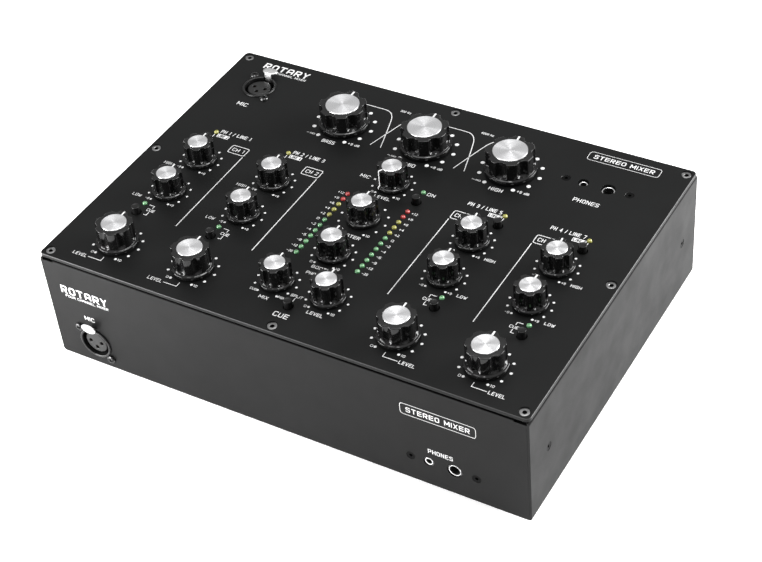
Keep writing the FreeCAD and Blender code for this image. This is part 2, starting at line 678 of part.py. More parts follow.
def power_inlet():
    """One moulding with a mains inlet cup below and the switch's frame above, and three blades."""
    flange = box(-15.5, 15.5, -13.0, 39.5, 0, 2.0)
    flange = flange.makeFillet(2.0, [e for e in flange.Edges if e.BoundBox.ZLength > 1])
    body = box(-13.5, 13.5, -11.0, 37.5, -24.0, 0.1)
    module = flange.fuse(body)
    module = module.cut(box(-12.2, 12.2, -8.2, 8.2, -18.0, 3))
    rocker_y = ROCKER_Z - INLET_Z
    module = module.cut(box(-10.0, 10.0, rocker_y - 6.6, rocker_y + 6.6, -12.0, 3))
    module = module.cut(Part.makeCylinder(1.25, 24.0, Vector(-12.0, rocker_y, -3.0), X_AXIS))
    blades = [box(-8.0, -6.0, -4.5, -0.5, -26.0, -2.5), box(6.0, 8.0, -4.5, -0.5, -26.0, -2.5),
              box(-1.0, 1.0, 1.5, 5.5, -26.0, -2.0)]
    slots = [box(-8.02, -5.98, -4.52, -0.48, -27, -17), box(5.98, 8.02, -4.52, -0.48, -27, -17),
             box(-1.02, 1.02, 1.48, 5.52, -27, -17)]
    return [module.cut(slots)] + blades


def power_rocker():
    """The rocker, tilted to its off side, on a pin across the frame."""
    half, reach = 5.3, 2.4
    section = [Vector(-9.8, -half, -1.0), Vector(-9.8, -half, 1.8), Vector(-9.8, 0, 0.6),
               Vector(-9.8, half, 1.8), Vector(-9.8, half, -1.0), Vector(-9.8, reach, -7.0),
               Vector(-9.8, -reach, -7.0), Vector(-9.8, -half, -1.0)]
    rocker = Part.Face(Part.makePolygon(section)).extrude(Vector(19.6, 0, 0))
    pin = Part.makeCylinder(1.2, 23.6, Vector(-11.8, 0, -3.0), X_AXIS)
    rocker = rocker.fuse(pin)
    rocker.rotate(Vector(0, 0, -3.0), X_AXIS, ROCKER_TILT)
    return moved(rocker, 0, ROCKER_Z - INLET_Z, 0)


def rear_board():
    """The upright board that carries the phono sockets."""
    board = box(-150, 34, 0, BOARD_THICKNESS, 20, 60)
    return in_case(moved(board, 0, CASE_DEPTH - SHEET - SHEET - 10.5 - BOARD_THICKNESS + SHEET, 0))


def ribbon_cable():
    """A flat cable from the upright board to the one under the top plate."""
    thickness = 1.0
    board_y = CASE_DEPTH - SHEET - 10.5 - BOARD_THICKNESS
    board_low = CASE_HEIGHT - BOARD_DROP - BOARD_THICKNESS
    run = box(-40, -10, 186, board_y, 52, 52 + thickness)
    rise = box(-40, -10, 186, 186 + thickness, 52, board_low)
    return in_case(run.fuse(rise).removeSplitter())


def power_supply():
    """The supply board on four pillars, with its transformer and two capacitors."""
    x0, x1, y0, y1, z0 = 40.0, 145.0, 100.0, 178.0, SHEET + 6.0
    board = box(x0, x1, y0, y1, z0, z0 + BOARD_THICKNESS)
    pillars = [disc(3.0, SHEET, z0, x, y) for x in (x0 + 5, x1 - 5) for y in (y0 + 5, y1 - 5)]
    top = z0 + BOARD_THICKNESS
    core = box(90, 138, 112, 168, top, top + 26)
    winding = box(96, 132, 118, 162, top + 26, top + 33)
    cans = [disc(7.0, top, top + 28, 60, y) for y in (120, 142)]
    return group([in_case(shape) for shape in [board, joined([core, winding])] + pillars + cans])


# ---------------------------------------------------------------- assembly
def save_case():
    save("case_wrap", case_wrap())
    save("front_panel", front_panel())
    save("rear_panel", rear_panel())
    save("top_panel", top_panel())
    save("top_screws", top_screws())
    save("black_screws", black_screws())
    save("feet", feet())


def save_controls():
    knobs = {kind: knob(size) for kind, size in KNOB_SIZES.items()}
    for name, (x, y) in knob_places().items():
        turned_knob = knobs[knob_size(name)].copy()
        if name == "mic_level_knob":
            turned_knob.rotate(ORIGIN, Z_AXIS, MIC_LEVEL_TURN)
        save(name, on_top(turned_knob, x, y))
    button = push_button()
    for name, (x, y) in button_places().items():
        save(name, on_top(button, x, y))
    pot, nut, switch, lamp = potentiometer(), pot_nut(), switch_body(), led()
    save("pot_bodies", group([on_top(pot, x, y) for x, y in knob_places().values()]))
    save("pot_nuts", group([on_top(part, x, y) for x, y in knob_places().values() for part in nut]))
    save("switch_bodies", group([on_top(switch, x, y) for x, y in button_places().values()]))
    for colour, places in led_places().items():
        save("leds_" + colour, group([on_top(lamp, x, y) for x, y in places]))
    save("main_board", main_board())
    save("board_standoffs", board_standoffs())


def save_sockets():
    insert, contact, latch = mic_insert(), mic_contact(), mic_latch()
    save("mic_sockets", group([on_top(mic_shell(TOP_SHEET), *TOP_MIC), on_top(insert, *TOP_MIC),
                               on_front(mic_shell(SHEET), *FRONT_MIC), on_front(insert, *FRONT_MIC)]))
    contacts = [moved(contact, x, y, 0) for x, y in contact_places()]
    save("mic_contacts", group([on_top(part, *TOP_MIC) for part in contacts] +
                               [on_front(part, *FRONT_MIC) for part in contacts]))
    save("mic_latch_top", on_top(latch, *TOP_MIC))
    save("mic_latch_front", on_front(latch, *FRONT_MIC))
    screws = []
    for sign in (-1, 1):
        step = sign * MIC_SCREW_STEP
        screws.append(on_top(pan_screw(8.0), TOP_MIC[0] - step, TOP_MIC[1] + step))
        screws.append(on_front(pan_screw(8.0), FRONT_MIC[0] - step, FRONT_MIC[1] + step))
        for x in OUTPUT_X:
            flange_screw = moved(pan_screw(8.0), sign * 9.5, sign * 12.0, 1.8)
            screws.append(on_rear(flange_screw, x, OUTPUT_Z))
    save("connector_screws", group(screws))
    top_jacks = [on_top(part, *TOP_PHONES) for part in phones_jacks(TOP_JACK_DEPTH, TOP_SHEET)]
    front_jacks = [on_front(part, *FRONT_PHONES) for part in phones_jacks(FRONT_JACK_DEPTH, SHEET)]
    save("phones_jacks", group(top_jacks + front_jacks))


def save_rear():
    save("rca_sockets", group([on_rear(part, x, z) for x in rca_columns() for z in RCA_ROWS
                               for part in rca_socket()]))
    save("output_sockets", group([on_rear(part, x, OUTPUT_Z) for x in OUTPUT_X for part in output_socket()]))
    save("ground_terminal", group([on_rear(ground_terminal(), x, ground_z()) for x in GROUND_X]))
    save("ground_nut", group([on_rear(ground_nut(), x, ground_z()) for x in GROUND_X]))
    save("power_inlet", group([on_rear(part, INLET_X, INLET_Z) for part in power_inlet()]))
    save("power_rocker", on_rear(power_rocker(), INLET_X, INLET_Z))
    save("rear_board", rear_board())
    save("ribbon_cable", ribbon_cable())
    save("power_supply", power_supply())


save_case()
save_controls()
save_sockets()
save_rear()
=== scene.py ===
import bmesh
import bpy
import math
from mathutils import Matrix, Vector


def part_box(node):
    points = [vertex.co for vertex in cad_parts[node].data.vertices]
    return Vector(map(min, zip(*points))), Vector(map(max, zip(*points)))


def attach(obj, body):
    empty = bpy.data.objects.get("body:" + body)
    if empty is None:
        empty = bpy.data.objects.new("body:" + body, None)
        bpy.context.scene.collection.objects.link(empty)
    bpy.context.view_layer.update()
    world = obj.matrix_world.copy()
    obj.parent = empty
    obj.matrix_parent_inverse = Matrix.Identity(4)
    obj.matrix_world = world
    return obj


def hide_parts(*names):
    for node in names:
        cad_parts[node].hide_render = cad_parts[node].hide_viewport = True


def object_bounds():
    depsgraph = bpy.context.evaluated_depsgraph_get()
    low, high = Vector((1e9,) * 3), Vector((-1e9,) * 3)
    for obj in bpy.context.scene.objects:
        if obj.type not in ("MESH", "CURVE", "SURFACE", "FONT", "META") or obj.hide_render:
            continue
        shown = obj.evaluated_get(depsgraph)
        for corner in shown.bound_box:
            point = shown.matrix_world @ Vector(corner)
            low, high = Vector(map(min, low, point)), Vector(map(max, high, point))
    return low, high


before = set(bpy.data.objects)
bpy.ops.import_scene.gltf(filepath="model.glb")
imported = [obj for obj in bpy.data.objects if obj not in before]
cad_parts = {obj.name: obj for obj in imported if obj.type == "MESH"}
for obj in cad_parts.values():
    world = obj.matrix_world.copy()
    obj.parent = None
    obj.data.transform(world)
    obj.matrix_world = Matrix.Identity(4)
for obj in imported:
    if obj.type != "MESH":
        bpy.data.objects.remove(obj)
CAD_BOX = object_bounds()

# A four-channel rotary mixing console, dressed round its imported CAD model. Lengths in this file are
# millimetres unless a name or a comment says otherwise, and become metres when a mesh is made.
MM = 0.001


# ---- where things are, from the CAD
def limits(node):
    """A CAD node's lowest and highest corners."""
    return [[value / MM for value in corner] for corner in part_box(node)]


def centre(node):
    low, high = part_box(node)
    return (low + high) / 2 / MM


(LEFT, PLATE_FRONT, _), (RIGHT, _, TOP) = limits("top_panel")
FRONT_FACE = limits("front_panel")[0][1]
REAR_FACE = limits("rear_panel")[1][1]
CASE_FLOOR = limits("case_wrap")[0][2]
MIDDLE = (LEFT + RIGHT) / 2
MIDDLE_U = round(MIDDLE - LEFT, 3)
PLATE_THICK, SHEET_THICK = 2.5, 1.5


def on_top(u, v, w=0.0):
    """u from the plate's left edge, v from its front edge, w above it."""
    return Vector((LEFT + u, PLATE_FRONT + v, TOP + w))


def on_front(u, v, w=0.0):
    """u from the case's left edge, v above its underside, w out of the front face."""
    return Vector((LEFT + u, FRONT_FACE - w, CASE_FLOOR + v))


def on_rear(u, v, w=0.0):
    """u from the right edge, which is on the left when seen from behind."""
    return Vector((RIGHT - u, REAR_FACE + w, CASE_FLOOR + v))


def flat_place(node):
    """A control's place on the plate, from its left and front edges."""
    middle = centre(node)
    return middle.x - LEFT, middle.y - PLATE_FRONT


# ---- shapes: (vertices, faces)
def merged(shapes):
    verts, faces = [], []
    for some_verts, some_faces in shapes:
        start = len(verts)
        verts += some_verts
        faces += [[start + i for i in face] for face in some_faces]
    return verts, faces


def shifted(shape, offset):
    return [v + Vector(offset) for v in shape[0]], shape[1]


def bridged(rings, loop=False):
    """A skin over rings of points, some of which may be one point. A loop joins the last to the first."""
    verts, faces, starts = [], [], []
    for ring in rings:
        starts.append(len(verts))
        verts += [Vector(p) for p in ring]
    pairs = list(zip(range(len(rings)), range(1, len(rings))))
    if loop:
        pairs.append((len(rings) - 1, 0))
    for a, b in pairs:
        size_a, size_b = len(rings[a]), len(rings[b])
        count = max(size_a, size_b)
        for i in range(count if count > 1 else 0):
            j = (i + 1) % count
            if size_a == 1:
                faces.append([starts[a], starts[b] + j, starts[b] + i])
            elif size_b == 1:
                faces.append([starts[a] + i, starts[a] + j, starts[b]])
            else:
                faces.append([starts[a] + i, starts[a] + j, starts[b] + j, starts[b] + i])
    return verts, faces


def capped(rings):
    """A skin over rings of one size, with a face on the first and on the last."""
    verts, faces = bridged(rings)
    size, count = len(rings[0]), len(verts)
    return verts, faces + [list(range(size)), list(range(count - size, count))[::-1]]


def ring_at(radius, z, angles):
    """A ring of points. The radius is a number or a function of the angle."""
    if radius == 0:
        return [(0.0, 0.0, z)]
    size = radius if callable(radius) else (lambda angle: radius)
    return [(size(a) * math.cos(a), size(a) * math.sin(a), z) for a in angles]


def even_angles(count):
    return [math.tau * i / count for i in range(count)]


def stacked(rows, angles, loop=False):
    """A skin over the rings that (radius, height) rows give."""
    return bridged([ring_at(r, z, angles) for r, z in rows], loop)


def turned(profile, segments=48, loop=False):
    """A turned solid about Z from (radius, height) points."""
    return stacked(profile, even_angles(segments), loop)


def rectangle(x0, y0, x1, y1):
    return [(x0, y0), (x1, y0), (x1, y1), (x0, y1)]


def prism(outline, low, high):
    """A closed prism on a convex outline."""
    return capped([[(x, y, z) for x, y in outline] for z in (low, high)])


def bent_bar(run, near, far, halves):
    """A bar that follows (y, z) points. Its two broad faces lie near and far along the run's normal."""
    rings = []
    for i, ((y, z), half) in enumerate(zip(run, halves)):
        before, after = run[max(0, i - 1)], run[min(len(run) - 1, i + 1)]
        along = Vector((after[0] - before[0], after[1] - before[1])).normalized()
        first, last = [(y - along.y * out, z + along.x * out) for out in (near, far)]
        rings.append([(-half, *first), (half, *first), (half, *last), (-half, *last)])
    return capped(rings)


def boxed(half_x, half_y, longest=math.inf):
    """A rectangle's radius as a function of the angle, with its corners cut at the longest radius."""
    def radius(angle):
        across, up = (max(1e-6, abs(side)) for side in (math.cos(angle), math.sin(angle)))
        return min(half_x / across, half_y / up, longest)
    return radius


def data_from(name, shape, crease=35.0):
    """A mesh from a shape, with edges that turn by more than the crease angle left sharp."""
    mesh = bpy.data.meshes.new(name)
    mesh.from_pydata([tuple(v * MM) for v in shape[0]], [], shape[1])
    work = bmesh.new()
    work.from_mesh(mesh)
    bmesh.ops.recalc_face_normals(work, faces=work.faces)
    work.to_mesh(mesh)
    work.free()
    for polygon in mesh.polygons:
        polygon.use_smooth = True
    mesh.set_sharp_from_angle(angle=math.radians(crease))
    return mesh


def turned_by(degrees, axis="Z"):
    return Matrix.Rotation(math.radians(degrees), 3, axis)


FACING_UP = Matrix.Identity(3)
FACING_FRONT = turned_by(90, "X")
FACING_REAR = turned_by(-90, "X") @ turned_by(180)


def linked(name, data):
    """A new object in the scene."""
    made = bpy.data.objects.new(name, data)
    bpy.context.scene.collection.objects.link(made)
    return made


def add_piece(name, shape, material, body="chassis", place=(0, 0, 0), turn=FACING_UP, stands_for=(),
              slot=None):
    """A piece from a shape or from a mesh that other pieces share."""
    mesh = shape if isinstance(shape, bpy.types.Mesh) else data_from(name, shape)
    if not mesh.materials:
        mesh.materials.append(material)
    piece = linked(name, mesh)
    piece.matrix_world = Matrix.Translation(Vector(place) * MM) @ turn.to_4x4()
    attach(piece, body)
    if stands_for:
        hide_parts(*stands_for)


# ---- materials
class Graph:
    """Short ways to add nodes to a material or to the world."""

    def __init__(self, tree):
        self.nodes = tree.nodes
        self.links = tree.links

    def node(self, kind, **values):
        made = self.nodes.new("ShaderNode" + kind)
        for key, value in values.items():
            socket = key.replace("_", " ")
            if socket in made.inputs:
                made.inputs[socket].default_value = value
            else:
                setattr(made, key, value)
        return made

    def join(self, source, target):
        self.links.new(source, target)

    def split(self, vector):
        """The X, Y and Z outputs of a vector."""
        made = self.node("SeparateXYZ")
        self.join(vector, made.inputs["Vector"])
        return made.outputs

    def ramp(self, source, stops):
        """A colour ramp. Stops are (position, colour or grey)."""
        made = self.node("ValToRGB")
        elements = made.color_ramp.elements
        while len(elements) < len(stops):
            elements.new(0.5)
        for element, (position, value) in zip(elements, stops):
            element.position = position
            element.color = (*(value if isinstance(value, tuple) else grey(value)), 1)
        self.join(source, made.inputs["Fac"])
        return made.outputs["Color"]


class Recipe(Graph):
    """A material built round its Principled shader."""

    def __init__(self, name, colour, roughness, **sockets):
        self.material = bpy.data.materials.new(name)
        self.material.use_nodes = True
        super().__init__(self.material.node_tree)
        self.shader = self.nodes["Principled BSDF"]
        self.shader.inputs["Base Color"].default_value = (*colour, 1)
        self.shader.inputs["Roughness"].default_value = roughness
        for socket, value in sockets.items():
            self.shader.inputs[socket.replace("_", " ")].default_value = value
        self.material.diffuse_color = (*colour, 1)
        self.where = self.node("TexCoord").outputs["Object"]

    def noise(self, scale, detail=3.0):
        made = self.node("TexNoise", Scale=scale, Detail=detail)
        self.join(self.where, made.inputs["Vector"])
        return made.outputs["Fac"]

    def to_range(self, source, low, high, from_low=0.3, from_high=0.7):
        made = self.node("MapRange", From_Min=from_low, From_Max=from_high, To_Min=low, To_Max=high)
        self.join(source, made.inputs["Value"])
        return made.outputs["Result"]

    def upward(self):
        """How far a face points up: 1 for level, 0 for upright."""
        return self.split(self.node("TexCoord").outputs["Normal"])["Z"]

    def from_axis(self):
        """The distance from the piece's own Z axis, in metres."""
        parts = self.split(self.where)
        flat = self.node("CombineXYZ")
        self.join(parts["X"], flat.inputs["X"])
        self.join(parts["Y"], flat.inputs["Y"])
        length = self.node("VectorMath", operation="LENGTH")
        self.join(flat.outputs["Vector"], length.inputs[0])
        return length.outputs["Value"]

    def feed(self, socket, source):
        self.join(source, self.shader.inputs[socket])

    def bump(self, source, strength, distance):
        made = self.node("Bump", Strength=strength, Distance=distance * MM)
        self.join(source, made.inputs["Height"])
        self.feed("Normal", made.outputs["Normal"])

    def mottled(self, scale, stops, detail=3.0):
        """Soft changes of colour."""
        self.feed("Base Color", self.ramp(self.noise(scale, detail), stops))

    def uneven(self, scale, low, high, detail=4.0):
        """Soft changes of gloss."""
        self.feed("Roughness", self.to_range(self.noise(scale, detail), low, high))

    def grained(self, scale, strength, distance):
        self.bump(self.noise(scale, 2.0), strength, distance)


def grey(value):
    return (value, value, value)


def powder_coat(name, dark, light, sheen, painted_edge_tone):
    """Fine black powder coat: a faint orange peel, and soft cloudy changes of tone and gloss.
    Rounded edges, whose faces lie between level and upright, get a metal grey set by the last argument:
    a painted highlight along the plate's rounded edges, and painted shade in the case's bends, which
    darkens the seam under the plate."""
    made = Recipe(name, dark, 0.44, Specular_IOR_Level=sheen)
    # Mask of the rounded edges, by how far their faces point up. There the colour and metal share paint a
    # highlight on the plate and a shade line on the case.
    edge = made.ramp(made.upward(), [(0.1, 0.0), (0.35, 1.0), (0.96, 1.0), (0.995, 0.0)])
    blend = made.node("MixRGB", Color2=(*grey(0.08 * painted_edge_tone), 1))
    made.join(edge, blend.inputs["Fac"])
    made.join(made.ramp(made.noise(14.0, 4.0), [(0.35, dark), (0.68, light)]), blend.inputs["Color1"])
    made.feed("Base Color", blend.outputs["Color"])
    made.feed("Metallic", edge)
    made.uneven(60.0, 0.41, 0.49, 5.0)
    made.grained(1900.0, 0.16, 0.05)
    return made.material


def moulded(name, colour, roughness, grain=1500.0, strength=0.06, **sockets):
    """Moulded plastic or rubber, with a fine grain and a little unevenness."""
    made = Recipe(name, colour, roughness, **sockets)
    lighter = tuple(min(1.0, c * 1.35 + 0.002) for c in colour)
    made.mottled(90.0, [(0.4, colour), (0.75, lighter)])
    made.uneven(220.0, roughness - 0.03, roughness + 0.06)
    made.grained(grain, strength, 0.04)
    return made.material


def knob_plastic():
    """Polished black mouldings whose flat tops were turned to a satin."""
    made = Recipe("knob_gloss", grey(0.004), 0.08, Specular_IOR_Level=0.36)
    made.feed("Roughness", made.to_range(made.upward(), 0.07, 0.36, 0.93, 0.995))
    made.mottled(60.0, [(0.35, grey(0.003)), (0.7, grey(0.0055))])
    return made.material


def metal(name, colour, roughness, strength=0.05, stain=0.8):
    """Plated or cast metal with slight dulling."""
    made = Recipe(name, colour, roughness, Metallic=1.0)
    dull = tuple(c * stain for c in colour)
    made.mottled(160.0, [(0.35, dull), (0.6, colour)], 4.0)
    made.uneven(420.0, roughness - 0.05, roughness + 0.08)
    made.grained(900.0, strength, 0.03)
    return made.material


def spun_aluminium():
    """Fine rings cut on a lathe, which stretch each highlight into a fan from the middle."""
    made = Recipe("spun_aluminium", (0.83, 0.83, 0.84), 0.30, Metallic=1.0, Anisotropic=0.86,
                  Anisotropic_Rotation=0.25)
    rings = made.node("TexNoise", noise_dimensions="1D", Scale=5200.0, Detail=2.0)
    made.join(made.from_axis(), rings.inputs["W"])
    made.feed("Roughness", made.to_range(rings.outputs["Fac"], 0.27, 0.35))
    tones = [(0.3, (0.78, 0.78, 0.79)), (0.7, (0.86, 0.86, 0.87))]
    made.feed("Base Color", made.ramp(rings.outputs["Fac"], tones))
    tangent = made.node("Tangent", direction_type="RADIAL", axis="Z")
    made.feed("Tangent", tangent.outputs["Tangent"])
    made.bump(rings.outputs["Fac"], 0.05, 0.01)
    return made.material


LENS_RADIUS = 1.5


def lamp_lens(name, core, ring, edge):
    """An unlit coloured lens: darker over the chip in its middle, paler in the ring round it."""
    made = Recipe(name, ring, 0.14, Coat_Weight=0.4, Coat_Roughness=0.05)
    radius = made.to_range(made.from_axis(), 0.0, 1.0, 0.0, LENS_RADIUS * MM)
    made.feed("Base Color", made.ramp(radius, [(0.18, core), (0.62, ring), (0.95, edge)]))
    made.grained(700.0, 0.04, 0.02)
    return made.material


def circuit_board():
    """Green solder mask over a faint pattern of tracks."""
    mask = (0.02, 0.11, 0.05)
    made = Recipe("board_green", mask, 0.35)
    tracks = made.node("TexBrick", Scale=160.0, Mortar_Size=0.05, Color1=(*mask, 1),
                       Color2=(0.018, 0.095, 0.045, 1), Mortar=(0.04, 0.19, 0.08, 1))
    made.join(made.where, tracks.inputs["Vector"])
    made.feed("Base Color", tracks.outputs["Color"])
    made.uneven(80.0, 0.3, 0.42, 3.0)
    return made.material


def striped_ribbon():
    """Grey flat cable with one line per wire."""
    made = Recipe("ribbon_grey", (0.42, 0.42, 0.43), 0.5)
    wave = made.node("TexWave", wave_type="BANDS", bands_direction="X", Scale=125.0)
    made.join(made.where, wave.inputs["Vector"])
    made.feed("Base Color", made.ramp(wave.outputs["Fac"], [(0.2, grey(0.3)), (0.6, grey(0.5))]))
    made.bump(wave.outputs["Fac"], 0.5, 0.2)
    return made.material


def worn_black_screw():
    """Black oxide worn to bare steel in patches."""
    made = Recipe("worn_screw", grey(0.03), 0.35, Metallic=1.0)
    wear = made.noise(900.0)
    made.feed("Base Color", made.ramp(wear, [(0.5, grey(0.03)), (0.7, grey(0.3))]))
    made.feed("Roughness", made.to_range(wear, 0.3, 0.45))
    return made.material


def stippled_tab():
    """Satin plating over a finely stippled face."""
    made = Recipe("latch_satin", grey(0.72), 0.34, Metallic=1.0)
    cells = made.node("TexVoronoi", Scale=1500.0)
    made.join(made.where, cells.inputs["Vector"])
    made.bump(cells.outputs["Distance"], 0.5, 0.12)
    made.mottled(300.0, [(0.3, grey(0.62)), (0.7, grey(0.8))])
    made.uneven(600.0, 0.3, 0.42, 3.0)
    return made.material


def ink(name, colour):
    """Screen-printed ink: matt, with thin spots."""
    made = Recipe(name, colour, 0.55)
    thin = tuple(c * 0.9 for c in colour)
    made.mottled(1400.0, [(0.3, thin), (0.55, colour)], 2.0)
    return made.material


# The plate's rounded edges get a painted highlight (0.9). The case's bends get painted shade (0.02), a dark
# seam under the plate.
PANEL_PAINT = powder_coat("panel_paint", (0.0040, 0.0042, 0.0042), (0.0052, 0.0054, 0.0054), 0.15, 0.9)
CASE_PAINT = powder_coat("case_paint", grey(0.0042), grey(0.0056), 0.125, 0.02)
KNOB_GLOSS = knob_plastic()
BUTTON_BLACK = moulded("button_black", grey(0.004), 0.30, Specular_IOR_Level=0.3)
SOCKET_BLACK = moulded("socket_black", grey(0.010), 0.36, Specular_IOR_Level=0.35)
SHELL_BLACK = moulded("shell_black", grey(0.006), 0.28, strength=0.03, Specular_IOR_Level=0.35)
PLAIN_BLACK = moulded("plain_black", grey(0.012), 0.42)
RUBBER = moulded("foot_rubber", grey(0.025), 0.75, grain=2400.0, strength=0.2)
SPUN = spun_aluminium()
ZINC = metal("zinc_plate", grey(0.30), 0.30)
CHROME = metal("chrome", grey(0.86), 0.12, strength=0.01, stain=0.92)
STEEL = metal("inner_steel", grey(0.55), 0.35)
BRASS = metal("contact_gold", (0.86, 0.64, 0.30), 0.22)
BLACK_OXIDE = moulded("black_oxide", grey(0.004), 0.3, grain=900.0, Specular_IOR_Level=0.03)
WORN = worn_black_screw()
SATIN = stippled_tab()
WHITE_INK = ink("white_ink", grey(0.70))
BLACK_INK = ink("black_ink", grey(0.02))
PHONO_PLASTIC = {
    "white": moulded("white_plastic", grey(0.72), 0.35),
    "red": moulded("red_plastic", (0.55, 0.02, 0.02), 0.35),
}
LENSES = {
    "red": lamp_lens("red_lens", (0.20, 0.010, 0.010), (0.52, 0.085, 0.08), (0.36, 0.03, 0.03)),
    "yellow": lamp_lens("yellow_lens", (0.17, 0.16, 0.012), (0.40, 0.39, 0.12), (0.27, 0.26, 0.055)),
    "green": lamp_lens("green_lens", (0.035, 0.16, 0.055), (0.24, 0.46, 0.25), (0.09, 0.27, 0.115)),
}

CARRIED_OVER = [
    (CASE_PAINT, ["case_wrap", "front_panel", "rear_panel"]),
    (PANEL_PAINT, ["top_panel"]),
    (RUBBER, ["feet"]),
    (BLACK_OXIDE, ["black_screws"]),
    (STEEL, ["pot_bodies", "pot_nuts", "board_standoffs", "ground_terminal", "power_supply"]),
    (PLAIN_BLACK, ["switch_bodies", "power_inlet"]),
    (BRASS, ["mic_contacts", "ground_nut"]),
    (KNOB_GLOSS, ["power_rocker"]),
    (circuit_board(), ["main_board", "rear_board"]),
    (striped_ribbon(), ["ribbon_cable"]),
]
for finish, nodes in CARRIED_OVER:
    for node in nodes:
        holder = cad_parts[node]
        if not holder.material_slots:
            holder.data.materials.append(finish)
        for place in holder.material_slots:
            place.material = finish


# ---- printed lettering
# A wide bold face drawn with strokes on a grid four wide and six high. s is a run with sharp
# corners, r one with round corners, o a closed round one, and d a slanting bar cut off level.
LETTERS = {
    "A": "r 0 0 0 6 4 6 4 0;s 0 2.4 4 2.4",
    "B": "s 2 6 0 6 0 0 2 0;r 2 6 3.8 6 3.8 3.1 2 3.1;r 2 3.1 4 3.1 4 0 2 0;s 0 3.1 2 3.1",
    "C": "r 4 4.7 4 6 0 6 0 0 4 0 4 1.3",
    "D": "s 2 6 0 6 0 0 2 0;r 2 6 4 6 4 0 2 0",
    "E": "s 4 6 0 6 0 0 4 0;s 0 3.1 3.7 3.1",
    "F": "s 4 6 0 6 0 0;s 0 3 3.5 3",
    "G": "r 4 4.7 4 6 0 6 0 0 4 0 4 2;s 4 1 4 2.9 2.2 2.9",
    "H": "s 0 0 0 6;s 4 0 4 6;s 0 3 4 3",
    "I": "s 0 0 0 6",
    "L": "s 0 6 0 0 4 0",
    "M": "s 0 0 0 6;s 4 0 4 6;d 0 6 2 1.2;d 4 6 2 1.2",
    "N": "s 0 0 0 6;s 4 0 4 6;d 0 6 4 0",
    "O": "o 0 0 4 0 4 6 0 6",
    "P": "s 2 6 0 6 0 0;r 2 6 4 6 4 2.5 2 2.5;s 0 2.5 2 2.5",
    "R": "s 2 6 0 6 0 0;r 2 6 4 6 4 2.6 2 2.6;s 0 2.6 2 2.6;d 1.8 2.6 4 0",
    "S": "r 4 4.9 4 6 0 6 0 3.1 4 3.1 4 0 0 0 0 1.1",
    "T": "s 0 6 4 6;s 2 0 2 6",
    "U": "r 0 6 0 0 4 0 4 6",
    "V": "d 0 6 2 0;d 4 6 2 0",
    "W": "d 0 6 1 0;d 2 5 1 0;d 2 5 3 0;d 4 6 3 0",
    "X": "d 0 0 4 6;d 0 6 4 0",
    "Y": "d 0 6 2 2.6;d 4 6 2 2.6;s 2 0 2 3",
    "d": "s 4 0 4 6;r 4 3.8 0 3.8 0 0 4 0",
    "z": "s 0 4 4 4;s 0 0 4 0;d 0 0 4 4",
    "0": "o 0 0 4 0 4 6 0 6",
    "1": "s 2.6 0 2.6 6 0.8 6",
    "2": "r 0 6 4 6 4 3.7 0.2 0;s 0 0 4 0",
    "3": "r 0 6 4 6 4 0 0 0;s 0.8 3.1 4 3.1",
    "4": "d 0.3 1.9 2.7 6;s 0 1.9 4 1.9;s 3 0 3 6",
    "5": "r 4 6 0 6 0 3.3 4 3.3 4 0 0 0",
    "6": "r 4 6 0 6 0 0 4 0 4 3.3 0 3.3",
    "7": "s 0 6 4 6;d 4 6 1.4 0",
    "8": "o 0 0 4 0 4 6 0 6;s 0 3.1 4 3.1",
    "9": "r 0 0 4 0 4 6 0 6 0 2.8 4 2.8",
    "+": "s 0 3 4 3;s 2 1 2 5",
    "-": "s 0 3 4 3",
    "/": "d 0 -0.6 4 6.6",
    "~": "o 0 1.4 2 1.4 2 4.6 0 4.6;o 2 1.4 4 1.4 4 4.6 2 4.6",
}
LETTER_WIDTHS = {"M": 1.2, "W": 1.3, "1": 0.62, "/": 0.62, " ": 0.5, "-": 0.8, "~": 1.5}
LETTER_GAP = 0.27
INK_LOW, INK_HIGH = -0.02, 0.03
CROSSING_STEP = 0.006


def softened(points, radius, closed=False):
    """The same run with its corners rounded."""
    count = len(points)
    result = []
    for i, point in enumerate(points):
        if not closed and i in (0, count - 1):
            result.append(point)
            continue
        back, ahead = points[i - 1] - point, points[(i + 1) % count] - point
        cut = min(radius, back.length / 2.01, ahead.length / 2.01)
        start, end = point + back.normalized() * cut, point + ahead.normalized() * cut
        for step in range(4):
            t = step / 3
            result.append(start * (1 - t) ** 2 + point * 2 * t * (1 - t) + end * t ** 2)
    return result


def squared(points, weight):
    """Runs the two ends of a stroke out by half its width, as far as the letter's box."""
    first = points[0] + (points[0] - points[1]).normalized() * weight / 2
    last = points[-1] + (points[-1] - points[-2]).normalized() * weight / 2
    return [first] + points[1:-1] + [last]


def stroke(points, width, closed=False, high=INK_HIGH):
    """A flat ribbon of ink of even width along a run of points."""
    count = len(points)
    rings = []
    for i, point in enumerate(points):
        sides = []
        if closed or i > 0:
            sides.append((point - points[i - 1]).normalized())
        if closed or i < count - 1:
            sides.append((points[(i + 1) % count] - point).normalized())
        along = (sides[0] + sides[-1]).normalized()
        lean = max(0.45, abs(along.dot(sides[0])))
        edge = Vector((-along.y, along.x)) * (width / 2 / lean)
        left, right = point + edge, point - edge
        rings.append([(*left, high), (*left, INK_LOW), (*right, INK_LOW), (*right, high)])
    return bridged(rings, True) if closed else capped(rings)


def slanting_bar(x0, y0, x1, y1, width, high):
    half = width / 2 * math.hypot(x1 - x0, y1 - y0) / abs(y1 - y0)
    return prism([(x0 - half, y0), (x0 + half, y0), (x1 + half, y1), (x1 - half, y1)], INK_LOW, high)


